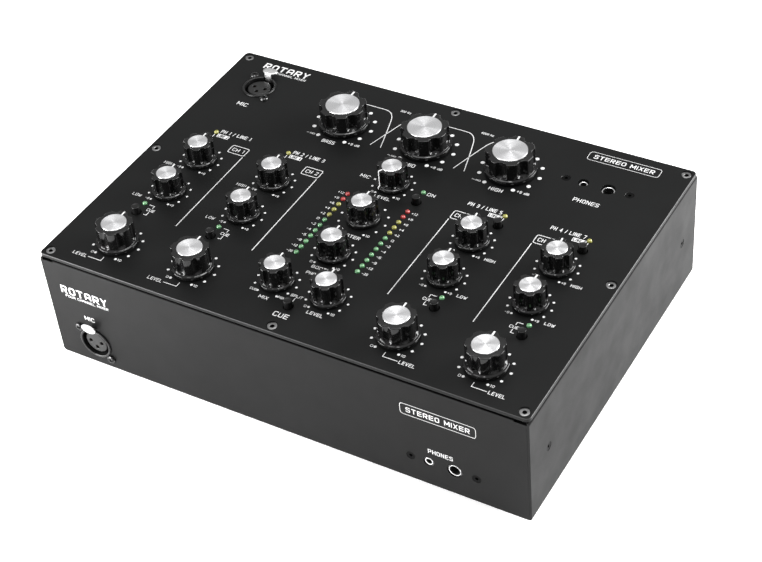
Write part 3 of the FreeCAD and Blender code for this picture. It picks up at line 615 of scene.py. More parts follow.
def letter_shapes(letter, x, y, width, height, weight):
    """The strokes of one letter whose box has its lower left corner at x, y. Where two strokes
    cross, one lies a few micrometres over the other."""
    left, low = x + weight / 2, y + weight / 2
    across, up = width - weight, height - weight
    shapes = []
    for layer, part in enumerate(LETTERS[letter].split(";")):
        high = INK_HIGH + CROSSING_STEP * layer
        kind, *numbers = part.split()
        grid = [float(n) for n in numbers]
        grid = list(zip(grid[::2], grid[1::2]))
        points = [Vector((left + gx / 4 * across, low + gy / 6 * up)) for gx, gy in grid]
        if kind == "d":
            ends = []
            for (_, gy), point in zip(grid, points):
                reach = weight / 2 if gy in (0, 6) else 0.0
                ends += [point.x, point.y + (reach if gy > 3 else -reach)]
            shapes.append(slanting_bar(*ends, weight * 0.95, high))
        elif kind == "s":
            shapes.append(stroke(squared(points, weight * 0.98), weight, high=high))
        else:
            closed = kind == "o"
            shapes.append(stroke(softened(points, weight * 1.2, closed), weight * 0.99, closed, high))
    return shapes


def lettering(text, x, y, width, height, weight=0.14):
    """Lettering centred on x, y that fills a box of this width and height. The weight is a stroke's
    width for a height of one. An I is as wide as its stroke."""
    line = weight * height
    factors = [LETTER_WIDTHS.get(c, 1.0) for c in text]
    spread = sum(f for c, f in zip(text, factors) if c != "I") + LETTER_GAP * (len(text) - 1)
    unit = (width - text.count("I") * line) / spread
    cursor, shapes = x - width / 2, []
    for letter, factor in zip(text, factors):
        size = line if letter == "I" else factor * unit
        if letter != " ":
            shapes += letter_shapes(letter, cursor, y - height / 2, size, height, line)
        cursor += size + LETTER_GAP * unit
    return merged(shapes)


def line_through(points, width, radius=0.0, closed=False):
    run = [Vector(p) for p in points]
    return stroke(softened(run, radius, closed) if radius else run, width, closed)


def spot(x, y, radius):
    outline = [(x + radius * math.cos(a), y + radius * math.sin(a)) for a in even_angles(24)]
    return prism(outline, INK_LOW, INK_HIGH)


def framed(x0, y0, x1, y1, width, radius):
    return line_through(rectangle(x0, y0, x1, y1), width, radius, closed=True)


def printed(name, shapes, place, material=WHITE_INK, rise=0.0):
    """Ink drawn flat in a face's own u and v, laid on that face."""
    verts, faces = merged(shapes)
    add_piece(name, ([place(v.x, v.y, v.z + rise) for v in verts], faces), material)


# ---- control layout
# Knob sizes: half is half a flute's angle in degrees, floor the radius of a flute's deepest line,
# cup the height of its rounded end, line the pointer's width, dots and dot the radii of the dial.
KNOB_SIZES = {
    "large": dict(skirt=16.2, column=15.0, floor=12.7, half=13.5, cap=10.75, height=15.6,
                  ledge=3.5, cup=2.0, recess=9.0, dots=19.1, dot=1.3, line=1.15),
    "medium": dict(skirt=12.6, column=11.3, floor=10.0, half=12.5, cap=7.65, height=15.9,
                   ledge=3.15, cup=1.8, recess=8.0, dots=14.65, dot=0.85, line=1.0),
    "small": dict(skirt=10.5, column=9.3, floor=7.6, half=14.0, cap=6.15, height=14.8,
                  ledge=2.85, cup=1.6, recess=6.8, dots=12.75, dot=0.75, line=0.95),
}
CHANNELS = ["ch1", "ch2", "ch3", "ch4"]
KNOBS = {name + "_knob": "large" for name in ("bass", "mid", "treble")}
for channel in CHANNELS:
    KNOBS[channel + "_high_knob"] = "small"
    KNOBS[channel + "_low_knob"] = "small"
    KNOBS[channel + "_level_knob"] = "medium"
for name in ("mic_level", "master_level", "booth_level", "cue_mix", "cue_level"):
    KNOBS[name + "_knob"] = "small"
BUTTONS = ["mic_on_button", "split_button"]
BUTTONS += [channel + kind for channel in CHANNELS for kind in ("_source_button", "_cue_button")]
MASTER_DOTS = 14.7
SETTLED_TURN = {"treble_knob": 4.0, "ch3_high_knob": 6.0, "ch4_high_knob": 5.0, "mic_level_knob": 150.0}
METER_COLOURS = ["red"] * 2 + ["yellow"] * 3 + ["green"] * 7
METER_TOP, METER_PITCH, METER_OFFSET = 122.5, 5.34, 20.5
SOURCE_LAMP_V, CUE_LAMP_V, MIC_LAMP_V = 142.4, 64.2, 142.3


# ---- knobs
FLUTES = 7
KNOB_GAP, CAP_STEP, CAP_DEPTH = 0.6, 0.5, 1.1
# Where a flute's half pitch is sampled, closest together at its edge. The first part is the flute.
FLUTE_STEPS = [0, 0.13, 0.26, 0.36, 0.43, 0.475, 0.51, 0.55, 0.6, 0.68, 0.78, 0.89]
# The skirt's rounded rim and its fillet into the column: a radius, how far past it, and above the ledge.
SHOULDER = [("skirt", 0, -0.42), ("skirt", -0.03, -0.31), ("skirt", -0.11, -0.2), ("skirt", -0.24, -0.1),
            ("skirt", -0.42, -0.02), ("column", 0.5, 0.12), ("column", 0.28, 0.21), ("column", 0.12, 0.31),
            ("column", 0.03, 0.43), ("column", 0, 0.56), ("column", 0, 0.7)]


def smaller(a, b, blend):
    """The smaller of two lengths, with the corner between them rounded."""
    least = min(a, b)
    return least - blend * math.log(math.exp((least - a) / blend) + math.exp((least - b) / blend))


def knob_moulding(size):
    """A fluted column on a skirt with a narrow ledge. Each flute is a round groove with a cupped end."""
    half = math.radians(size["half"])
    skirt, column, floor, ledge, cup = (size[key] for key in ("skirt", "column", "floor", "ledge", "cup"))
    groove = ((floor ** 2 + column ** 2 - 2 * column * floor * math.cos(half))
              / (2 * (column * math.cos(half) - floor)))
    distance = floor + groove
    cup_top = ledge + 0.15 + cup
    pitch = math.tau / FLUTES
    spacing = [s * half / math.radians(13.5) if s < 0.6 else s for s in FLUTE_STEPS]
    steps = spacing + [1.0] + [2.0 - s for s in spacing[:0:-1]]
    angles = [math.pi / 2 + pitch / 2 + pitch * k + pitch / 2 * s for k in range(FLUTES) for s in steps]

    def fluted(radius, height, inset=0.0):
        """A ring whose radius is cut by the flutes. They fade out down their cupped ends."""
        drop = max(0.0, cup_top - height) / cup

        def reduced(angle):
            away = (angle - math.pi / 2) % pitch - pitch / 2
            reach = groove ** 2 * (1 - drop ** 2) - (distance * math.sin(away)) ** 2
            if drop >= 1 or reach <= 0:
                return radius - inset
            return smaller(radius, distance * math.cos(away) - math.sqrt(reach), 0.14) - inset
        return reduced, height

    rim, recess = size["height"] - CAP_STEP, size["recess"]
    well, well_floor = size["cap"] + 0.05, size["height"] - CAP_DEPTH
    rows = [(0, 5.0), (recess, 5.0), (recess, KNOB_GAP), (skirt - 0.3, KNOB_GAP),
            (skirt - 0.08, KNOB_GAP + 0.09), (skirt, KNOB_GAP + 0.3)]
    rows += [fluted(size[part] + past, ledge + rise) for part, past, rise in SHOULDER]
    rows += [fluted(column, cup_top - part * cup) for part in (0.6, 0.5, 0.4, 0.3, 0.2, 0.1, 0.0)]
    bevel = 0.42
    for step in range(5):
        angle = math.radians(22.5 * step)
        rows.append(fluted(column, rim - bevel + bevel * math.sin(angle), bevel * (1 - math.cos(angle))))
    rows += [(well, rim), (well, well_floor), (0, well_floor)]
    return stacked(rows, angles)


def knob_cap(size):
    """A turned aluminium disc with a bright bevel round its edge. Drawn from its own lower face."""
    radius = size["cap"]
    return turned([(0, 0), (radius, 0), (radius, CAP_DEPTH - 0.34), (radius - 0.05, CAP_DEPTH - 0.2),
                   (radius - 0.36, CAP_DEPTH), (radius - 0.5, CAP_DEPTH), (radius * 0.5, CAP_DEPTH),
                   (0, CAP_DEPTH)], 96)


def knob_pointer(size):
    """The white line let into the knob: over the rim, down the column, the ledge and the skirt."""
    column, skirt, ledge, rim = size["column"], size["skirt"], size["ledge"], size["height"] - CAP_STEP
    run = [(size["cap"] + 0.1, rim), (column - 0.42, rim), (column - 0.16, rim - 0.1), (column, rim - 0.42),
           (column, ledge + 0.56), (column + 0.12, ledge + 0.31), (column + 0.5, ledge + 0.12),
           (skirt - 0.42, ledge - 0.02), (skirt - 0.11, ledge - 0.2), (skirt, ledge - 0.42), (skirt, 1.2)]
    return bent_bar(run, -0.15, 0.04, [size["line"] / 2] * len(run))


def add_knobs():
    parts = {}
    for kind, size in KNOB_SIZES.items():
        parts[kind] = (data_from(kind + "_moulding", knob_moulding(size), 50.0),
                       data_from(kind + "_cap", knob_cap(size)),
                       data_from(kind + "_pointer", knob_pointer(size)))
    for node, kind in KNOBS.items():
        middle = centre(node)
        moulding, cap, pointer = parts[kind]
        base = (middle.x, middle.y, TOP)
        crown = (middle.x, middle.y, TOP + KNOB_SIZES[kind]["height"] - CAP_DEPTH)
        stem = node.replace("_knob", "")
        common = dict(body=node, turn=turned_by(SETTLED_TURN.get(node, 0.0)), stands_for=[node])
        add_piece(stem + "_moulding", moulding, KNOB_GLOSS, place=base, slot="knob_gloss", **common)
        add_piece(stem + "_cap", cap, SPUN, place=crown, **common)
        add_piece(stem + "_pointer", pointer, WHITE_INK, place=base, **common)


# ---- buttons and lamps
BUTTON_PROFILE = [(0, -8.0), (1.45, -8.0), (1.45, -1.85), (2.45, -1.85), (2.55, -1.7), (2.55, 4.42),
                  (2.51, 4.6), (2.4, 4.73), (2.24, 4.79), (2.08, 4.76), (1.95, 4.66), (1.5, 4.58),
                  (0.8, 4.54), (0, 4.52)]
LENS_PROFILE = [(0, -5.2), (1.9, -5.2), (1.9, -4.2), (LENS_RADIUS, -4.2), (LENS_RADIUS, 0.1), (1.48, 0.4),
                (1.38, 0.72), (1.2, 0.98), (0.92, 1.2), (0.55, 1.33), (0, 1.38)]


def add_buttons():
    mesh = data_from("button", turned(BUTTON_PROFILE))
    for node in BUTTONS:
        middle = centre(node)
        add_piece(node.replace("_button", "_cap_button"), mesh, BUTTON_BLACK, node, (middle.x, middle.y, TOP),
                  stands_for=[node], slot="button_black")


def add_lamps():
    """Each lamp is a domed lens with a flange under the plate, and two legs down to the board."""
    places = []
    for side, u in (("left", MIDDLE_U - METER_OFFSET), ("right", MIDDLE_U + METER_OFFSET)):
        for step, colour in enumerate(METER_COLOURS):
            places.append(("meter_%s_%02d" % (side, step + 1), colour, u, METER_TOP - step * METER_PITCH))
    for channel in CHANNELS:
        u = flat_place(channel + "_source_button")[0]
        places.append((channel + "_source_lamp", "yellow", u, SOURCE_LAMP_V))
        places.append((channel + "_cue_lamp", "green", u, CUE_LAMP_V))
    places.append(("mic_on_lamp", "green", MIDDLE_U + METER_OFFSET, MIC_LAMP_V))
    leg = prism(rectangle(-0.25, -0.25, 0.25, 0.25), -11.0, -5.1)
    meshes = {colour: data_from(colour + "_lens", turned(LENS_PROFILE, 24)) for colour in LENSES}
    legs = []
    for name, colour, u, v in places:
        add_piece(name, meshes[colour], LENSES[colour], place=on_top(u, v), stands_for=["leds_" + colour],
                  slot=colour + "_lens")
        legs += [shifted(leg, on_top(u + x, v)) for x in (-1.27, 1.27)]
    add_piece("lamp_legs", merged(legs), STEEL)


# ---- screws
SCREW_TURNS = (8, 41, 22, 3, 50, 17, 33, 12)
SCREW_HEAD = 2.8
SCREW_ROW_V = 113.5


def hex_radius(size):
    """A hexagon's radius as a function of the angle. Its flats are at this distance from the middle."""
    def radius(angle):
        return size / math.cos((angle + math.pi / 6) % (math.pi / 3) - math.pi / 6)
    return radius


SHANK = [(0, -8.0), (1.45, -8.0)]
# A countersunk head with a chamfered rim and a hex socket, seen face on, and a near-black lining down the
# socket that paints the shade inside it.
PLATE_SCREW = SHANK + [(1.45, -1.5), (2.72, -0.22), (SCREW_HEAD, -0.12), (2.72, -0.04), (2.5, 0.0),
                       (hex_radius(1.4), 0.0), (hex_radius(1.28), -0.12), (hex_radius(1.28), -1.4), (0, -1.6)]
PLATE_SCREW_SOCKET_SHADE = [(0, -1.4), (hex_radius(1.27), -1.36), (hex_radius(1.27), -0.14),
                      (hex_radius(1.18), -0.14), (hex_radius(1.18), -1.2), (0, -1.24)]


def cross_radius(length, half_width):
    """A cross's radius as a function of the angle."""
    def radius(angle):
        near, far = sorted((abs(math.cos(angle)), abs(math.sin(angle))))
        return min(length / max(1e-6, far), half_width / max(1e-6, near))
    return radius


def cross_pan_screw():
    """A pan head with a cross recess, seated on z = 0."""
    corner = math.degrees(math.atan2(0.35, 1.45))
    quarter = [0, corner, corner + 6, 26, 35, 45, 55, 64, 90 - corner - 6, 90 - corner]
    angles = [math.radians(90 * k + a) for k in range(4) for a in quarter]
    rows = SHANK + [(1.45, 0.02), (2.7, 0.02), (2.7, 0.75), (2.6, 1.1), (2.35, 1.42), (2.0, 1.6),
                    (1.75, 1.68), (cross_radius(1.45, 0.35), 1.7), (cross_radius(1.25, 0.24), 0.75), (0, 0.6)]
    return stacked(rows, angles)


def add_screws():
    """The plate's eight screws: three along the front, one at each side, three along the rear."""
    head = data_from("plate_screw", turned(PLATE_SCREW))
    socket_shade = data_from("plate_screw_lining", turned(PLATE_SCREW_SOCKET_SHADE))
    low, high = limits("top_screws")
    columns = (low[0] + SCREW_HEAD, MIDDLE, high[0] - SCREW_HEAD)
    rows = (low[1] + SCREW_HEAD, PLATE_FRONT + SCREW_ROW_V, high[1] - SCREW_HEAD)
    spots = [(x, y) for y in rows for x in columns if (x, y) != (MIDDLE, rows[1])]
    for number, ((x, y), degrees) in enumerate(zip(spots, SCREW_TURNS), 1):
        common = dict(place=(x, y, high[2]), turn=turned_by(degrees), stands_for=["top_screws"])
        add_piece("plate_screw_%d" % number, head, ZINC, slot="zinc_screw", **common)
        # Each socket gets a near-black lining that paints the shade inside it.
        add_piece("plate_screw_lining_%d" % number, socket_shade, BLACK_OXIDE, **common)


# ---- microphone sockets
COLLAR_R, COLLAR_WALL_R, BARREL_R = 11.0, 9.6, 10.3
TAB_REACH = 17.3
XLR_CONTACTS = ((-4.0, 0.2), (4.0, 0.2), (0.0, -3.8))


def mic_collar():
    """The die-cast shell: a thin raised lip round the ring gap, with a slot for the latch at +Y."""
    slot_half = math.asin(2.7 / BARREL_R)
    count = 60
    span = math.tau - 2 * slot_half
    section = [(10.25, -6.0), (10.25, 0.02), (COLLAR_R, 0.02), (COLLAR_R, 0.55), (COLLAR_R - 0.12, 0.85),
               (COLLAR_R - 0.4, 1.06), (COLLAR_R - 0.75, 1.1), (COLLAR_WALL_R + 0.25, 1.0),
               (COLLAR_WALL_R + 0.05, 0.8), (COLLAR_WALL_R, 0.5), (COLLAR_WALL_R, -6.0)]
    angles = [math.pi / 2 + slot_half + span * i / count for i in range(count + 1)]
    lip = capped([[(r * math.cos(a), r * math.sin(a), z) for r, z in section] for a in angles])
    barrel = turned([(0, -20.0), (BARREL_R, -20.0), (BARREL_R, -5.9), (COLLAR_WALL_R, -5.9),
                     (COLLAR_WALL_R, -18.0), (0, -18.0)], 60)
    return merged([lip, barrel])


def mic_flange(under):
    """The flange behind the panel, a square ring round the barrel."""
    edge = boxed(13.2, 13.2, 17.6)
    rows = [(edge, -under - 2.0), (edge, -under), (BARREL_R + 0.05, -under), (BARREL_R + 0.05, -under - 2.0)]
    return stacked(rows, even_angles(40), loop=True)


def mic_insert():
    """The round insulator, slightly crowned, with three countersunk contact holes."""
    mesh = bmesh.new()

    def added(shape):
        verts = [mesh.verts.new(v) for v in shape[0]]
        for face in shape[1]:
            mesh.faces.new([verts[i] for i in face])
        return verts
    crown = turned([(0, -18.0), (7.75, -18.0), (7.75, -1.1), (7.68, -0.75), (7.45, -0.45), (7.1, -0.28),
                    (6.6, -0.2)], 60)
    hole = turned([(1.5, -0.2), (1.27, -0.42), (1.25, -1.7), (1.65, -1.7), (1.65, -16.0), (0, -16.0)], 24)
    rims = [added(crown)[-60:]] + [added(shifted(hole, (x, y, 0)))[:24] for x, y in XLR_CONTACTS]
    edges = [mesh.edges.get((vert, rim[i - 1])) for rim in rims for i, vert in enumerate(rim)]
    bmesh.ops.triangle_fill(mesh, use_beauty=True, use_dissolve=False, edges=edges)
    mesh.verts.index_update()
    shape = ([v.co.copy() for v in mesh.verts], [[v.index for v in f.verts] for f in mesh.faces])
    mesh.free()
    return shape


def latch_tab(out):
    """The push tab: a domed oval plate on a bent neck that runs down through the slot."""
    def oval(scale, z):
        return [(5.2 * scale * math.cos(a), 14.0 + 3.3 * scale * math.sin(a), z) for a in even_angles(48)]
    base = out - 0.9
    plate = bridged([[(0, 14.0, base)], oval(0.96, base), oval(1.0, base + 0.12), oval(1.0, out - 0.4),
                     oval(0.97, out - 0.18), oval(0.9, out - 0.05), oval(0.6, out), [(0, 14.0, out)]])
    run = [(12.2, out - 0.45), (11.4, out - 0.5), (10.95, out - 0.85), (10.8, out - 1.5), (10.8, 0.0),
           (10.8, -6.0), (10.4, -6.0), (9.8, -5.6)]
    return merged([plate, bent_bar(run, 0.38, -0.38, [2.2 if z > -5 else 1.5 for _, z in run])])


def add_mic_sockets(screw):
    collar = data_from("mic_collar", mic_collar())
    insert = data_from("mic_insert", mic_insert())
    (left, _, _), (right, rear, high) = limits("mic_latch_top")
    on_plate = ((left + right) / 2, rear - TAB_REACH, TOP)
    (left, near, _), (right, _, upper) = limits("mic_latch_front")
    on_panel = ((left + right) / 2, FRONT_FACE, upper - TAB_REACH)
    for where, place, turn, under, out in (
            ("top", on_plate, FACING_UP, PLATE_THICK, high - TOP),
            ("front", on_panel, FACING_FRONT, SHEET_THICK, FRONT_FACE - near)):
        common = dict(place=place, turn=turn, stands_for=["mic_sockets"])
        add_piece("mic_collar_" + where, collar, SHELL_BLACK, **common)
        add_piece("mic_insert_" + where, insert, SOCKET_BLACK, slot="socket_black", **common)
        add_piece("mic_flange_" + where, mic_flange(under), SHELL_BLACK, **common)
        latch = "mic_latch_" + where
        add_piece("mic_tab_" + where, latch_tab(out), SATIN, latch, place, turn, [latch], "latch_metal")
        for sign, label, degrees in ((-1, "right", -13), (1, "left", 24)):
            seat = Vector(place) + turn @ Vector((-sign * 9.75, sign * 9.75, 0))
            add_piece("mic_screw_%s_%s" % (where, label), screw, WORN, "chassis", seat,
                      turn @ turned_by(degrees), ["connector_screws"], "black_screw")


# ---- headphone jacks
JACKS = {"small": dict(step=-9.2, sleeve=2.65, bore=1.8, length=6.0, body=(4.5, 4.0), end=17.0),
         "large": dict(step=6.9, sleeve=3.9, bore=3.2, length=8.0, body=(7.5, 6.5), end=30.0)}
BRACKET_HALF_X, BRACKET_HALF_Y = 25.0, 7.0


def jack_sleeve(kind):
    """A bright sleeve with a chamfered mouth, drawn from its own mouth."""
    outer, bore, length = kind["sleeve"], kind["bore"], kind["length"]
    return turned([(outer, -length), (outer, -0.2), (outer - 0.14, -0.03), (outer - 0.3, 0), (bore + 0.28, 0),
                   (bore + 0.08, -0.12), (bore, -0.35), (bore, -length)], 64, loop=True)


def jack_bore_shade(kind):
    """A black skin on the inside of the sleeve, a whisker proud of its wall: painted shade down the bore."""
    near, far, length = kind["bore"] - 0.02, kind["bore"] + 0.02, kind["length"]
    return turned([(near, -length), (near, -0.45), (far, -0.45), (far, -length)], 64, loop=True)


def jack_body(kind, depth):
    """The black moulding behind the panel, bored for the sleeve and the plug."""
    block, bore = boxed(*kind["body"]), kind["bore"] + 0.6
    low, high, seat = -depth - kind["end"], -depth - 4.0, -depth - kind["length"] - 0.1
    pocket = kind["sleeve"] + 0.03
    return turned([(0, low), (block, low), (block, high), (pocket, high), (pocket, seat), (bore, seat),
                   (bore, low + 1.5), (0, low + 1.5)])


def jack_spring(kind, depth):
    """The contact leaf that shows down the bore."""
    rings = []
    for x, z in ((-0.3, -5.6), (0.5, -6.6), (-0.3, -7.8)):
        side = x - kind["bore"]
        rings.append([(x, y, z - depth) for x, y in rectangle(side, -0.6, side + 0.2, 0.6)])
    return capped(rings)


def jack_bracket(under):
    """A flat steel strip behind both jacks, with a round hole for each."""
    holes = sorted((kind["step"], kind["sleeve"] + 0.06) for kind in JACKS.values())
    edges = [-BRACKET_HALF_X, *(x for middle, r in holes for x in (middle - r, middle + r)), BRACKET_HALF_X]
    top = BRACKET_HALF_Y
    outlines = [rectangle(start, -top, end, top) for start, end in zip(edges[::2], edges[1::2])]
    for middle, r in holes:
        arc = [(middle + r * math.cos(a), r * math.sin(a)) for a in even_angles(32)[:17]]
        for (x0, y0), (x1, y1) in zip(arc, arc[1:]):
            outlines += [[(x0, s * y0), (x1, s * y1), (x1, s * top), (x0, s * top)] for s in (-1, 1)]
    return merged([prism(outline, -under - 1.4, -under - 0.02) for outline in outlines])


def add_jacks():
    for where, place, turn, depth, under in (
            ("top", on_top(272.0, 190.1), FACING_UP, 1.3, PLATE_THICK),
            ("front", on_front(266.5, 18.2), FACING_FRONT, 0.3, SHEET_THICK)):
        common = dict(turn=turn, stands_for=["phones_jacks"])
        for label, kind in JACKS.items():
            seat = place + turn @ Vector((kind["step"], 0, 0))
            mouth = place + turn @ Vector((kind["step"], 0, -depth))
            name = "%s_jack_%s" % (label, where)
            add_piece(name + "_sleeve", jack_sleeve(kind), CHROME, place=mouth, **common)
            # A black skin over the sleeve's inside wall paints the shade down the bore.
            add_piece(name + "_bore", jack_bore_shade(kind), PLAIN_BLACK, place=mouth, **common)
            add_piece(name + "_body", jack_body(kind, depth), PLAIN_BLACK, place=seat, slot="black_plastic",
                      **common)
            add_piece(name + "_spring", jack_spring(kind, depth), STEEL, place=seat, **common)
        add_piece("jack_bracket_" + where, jack_bracket(under), STEEL, place=place, **common)


# ---- rear sockets
RCA_COLUMNS, RCA_PITCH, RCA_ROWS = 10, 18.0, (30.0, 50.0)
RCA_FIRST = centre("rca_sockets").x - RCA_PITCH * (RCA_COLUMNS - 1) / 2
PHONO_SLEEVE = [(4.0, -2.5), (4.0, 0.0), (4.6, 0.0), (4.6, 0.5), (4.15, 0.6), (4.15, 8.7), (4.0, 8.95),
                (3.85, 9.0), (3.5, 9.0), (3.35, 8.85), (3.35, -2.5)]
PHONO_INSULATOR = [(1.65, -2.5), (3.3, -2.5), (3.3, 7.8), (3.2, 8.0), (2.0, 8.0), (1.75, 7.9), (1.65, 7.7)]
PHONO_CONTACT = [(0, -8.4), (1.6, -8.4), (1.6, -2.7), (1.35, -2.5), (1.35, -8.0), (0, -8.0)]
XLR_PIN = [(0, -18.0), (1.18, -18.0), (1.18, -3.7), (1.05, -3.3), (0.75, -3.05), (0, -3.0)]
XLR_HALF_X, XLR_HALF_Y, XLR_CORNER, XLR_FACE = 13.0, 15.5, 2.5, 1.8


def add_phono_sockets():
    """Each socket has a plated sleeve, a coloured insulator and a black body behind the panel."""
    sleeve = data_from("phono_sleeve", turned(PHONO_SLEEVE, 40, loop=True))
    body = data_from("phono_body", prism(rectangle(-6, -6, 6, 6), -12.0, -2.6))
    contact = data_from("phono_contact", turned(PHONO_CONTACT, 24))
    insulators = {colour: data_from("phono_" + colour, turned(PHONO_INSULATOR, 32, loop=True))
                  for colour in PHONO_PLASTIC}
    for column in range(RCA_COLUMNS):
        for row, colour in enumerate(("red", "white")):
            place = (RCA_FIRST + column * RCA_PITCH, REAR_FACE, CASE_FLOOR + RCA_ROWS[row])
            for part, mesh, finish in (("sleeve", sleeve, BRASS),
                                       ("insulator", insulators[colour], PHONO_PLASTIC[colour]),
                                       ("body", body, PLAIN_BLACK), ("contact", contact, STEEL)):
                add_piece("phono_%s_%d_%d" % (part, column + 1, row + 1), mesh, finish, place=place,
                          turn=FACING_REAR, stands_for=["rca_sockets"])


def xlr_output():
    """A square flange with round corners, a cup and the floor that its pins stand in."""
    angles = even_angles(64)

    def rounded(inset, z):
        wide, tall = XLR_HALF_X - inset, XLR_HALF_Y - inset
        ring = []
        for x, y, _ in ring_at(boxed(wide, tall), z, angles):
            over_x, over_y = abs(x) - (wide - XLR_CORNER), abs(y) - (tall - XLR_CORNER)
            if min(over_x, over_y) > 0 and math.hypot(over_x, over_y) > XLR_CORNER:
                shrink = XLR_CORNER / math.hypot(over_x, over_y)
                x = math.copysign(wide - XLR_CORNER + over_x * shrink, x)
                y = math.copysign(tall - XLR_CORNER + over_y * shrink, y)
            ring.append((x, y, z))
        return ring
    barrel = [ring_at(r, z, angles) for r, z in ((0, -16.0), (11.0, -16.0), (11.0, 0.02))]
    plate = [rounded(0, 0.02), rounded(0, 1.3), rounded(0.15, 1.65), rounded(0.5, XLR_FACE)]
    rows = ((9.9, XLR_FACE), (9.5, 1.6), (9.4, 1.2), (9.4, -14.0), (0, -14.0))
    return bridged(barrel + plate + [ring_at(r, z, angles) for r, z in rows])


def add_outputs(screw):
    flange = data_from("output_flange", xlr_output())
    pin = data_from("output_pin", turned(XLR_PIN, 24))
    low, high = limits("output_sockets")
    common = dict(turn=FACING_REAR, stands_for=["output_sockets"])
    for label, x in (("left", low[0] + XLR_HALF_X), ("right", high[0] - XLR_HALF_X)):
        place = Vector((x, REAR_FACE, (low[2] + high[2]) / 2))
        add_piece("output_flange_" + label, flange, SHELL_BLACK, place=place, **common)
        for number, (px, py) in enumerate(XLR_CONTACTS, 1):
            add_piece("output_pin_%s_%d" % (label, number), pin, BRASS,
                      place=place + FACING_REAR @ Vector((px, py, 0)), **common)
        for sign, height in ((-1, "lower"), (1, "upper")):
            seat = place + FACING_REAR @ Vector((sign * 9.5, sign * 12.0, XLR_FACE))
            add_piece("output_screw_%s_%s" % (label, height), screw, WORN, place=seat, turn=FACING_REAR,
                      stands_for=["connector_screws"], slot="black_screw")


# ---- legends
# A row of words is text, middle, width and height, and its strokes' weight if that isn't the usual.
FIGURE_WIDTHS = {1: 1.6, 2: 2.5, 3: 3.7}
METER_FIGURES = ["+12", "+9", "+6", "+4", "+2", "0", "-2", "-4", "-6", "-9", "-12", "-20"]
METER_WIDTHS = {1: 1.7, 2: 3.0, 3: 3.8}
THIN, RULE = 0.4, 0.55
TOP_WORDS = [
    ("300 Hz", 131.1, 209.6, 7.4, 1.9),
    ("4000 Hz", 189.1, 209.6, 8.7, 1.9),
    ("MIC", 140.4, 142.2, 6.5, 2.8),
    ("LEVEL", MIDDLE_U, 128.1, 10.6, 2.5),
    ("ON", 185.8, 142.2, 5.2, 2.8),
    ("MASTER", MIDDLE_U, 89.4, 14.5, 2.6),
    ("BOOTH", MIDDLE_U, 57.3, 12.0, 2.5),
    ("PHONES", MIDDLE_U, 51.6, 12.4, 2.3),
    ("SPLIT", MIDDLE_U, 31.2, 7.6, 2.1),
    ("CUE", 133.8, 26.5, 4.4, 1.8),
    ("PGM", 152.7, 26.5, 4.8, 1.8),
    ("MIX", 143.1, 22.8, 6.2, 2.5),
    ("LEVEL", 176.9, 22.8, 10.4, 2.5),
    ("CUE", MIDDLE_U, 14.1, 9.6, 3.7),
    ("MIC", 29.8, 175.0, 7.6, 3.4),
    ("PHONES", 272.0, 173.7, 16.4, 3.3),
]
CROSSOVER = [(26.9, 206.8), (14.5, 206.8), (10.4, 206.4), (7.6, 204.7), (5.0, 200.9), (3.5, 196.3),
             (0.0, 184.3), (-3.7, 170.7)]
REAR_NAMES = ["REC", "BOOTH", "PH 1", "LINE 2", "PH 2", "LINE 4", "PH 3", "LINE 6", "PH 4", "LINE 8"]


def names_of_console(u, v, line_u, line_v, frame_u, frame_v):
    """The console's generic name, the line under it, and plain words in a plain frame."""
    return [lettering("ROTARY", u, v, 34.0, 5.8, 0.18),
            lettering("FOUR CHANNEL MIXER", line_u, line_v, 31.5, 1.9),
            framed(frame_u - 23.1, frame_v - 4, frame_u + 23.1, frame_v + 4, 0.3, 2.0),
            lettering("STEREO MIXER", frame_u, frame_v, 39.0, 3.6, 0.16)]


def dial(node, kind):
    """Eleven dots, thirty degrees apart, and the figures beside the first and the last."""
    u, v = flat_place(node)
    size = KNOB_SIZES[kind]
    radius = MASTER_DOTS if node == "master_level_knob" else size["dots"]
    shapes = []
    for step in range(11):
        angle = math.radians(240 - 30 * step)
        shapes.append(spot(u + radius * math.cos(angle), v + radius * math.sin(angle), size["dot"]))
    ends = ()
    if kind == "medium" or node.startswith(("mic", "master", "booth", "cue_level")):
        ends = ("0", "10")
    elif kind == "small" and node != "cue_mix_knob":
        ends = ("-9", "+9")
    for side, figure in zip((-1, 1), ends):
        width = FIGURE_WIDTHS[len(figure)]
        middle = u + side * (radius * math.cos(math.radians(60)) + 1.4 + width / 2)
        shapes.append(lettering(figure, middle, v - radius * math.sin(math.radians(60)), width, 1.8))
    return shapes


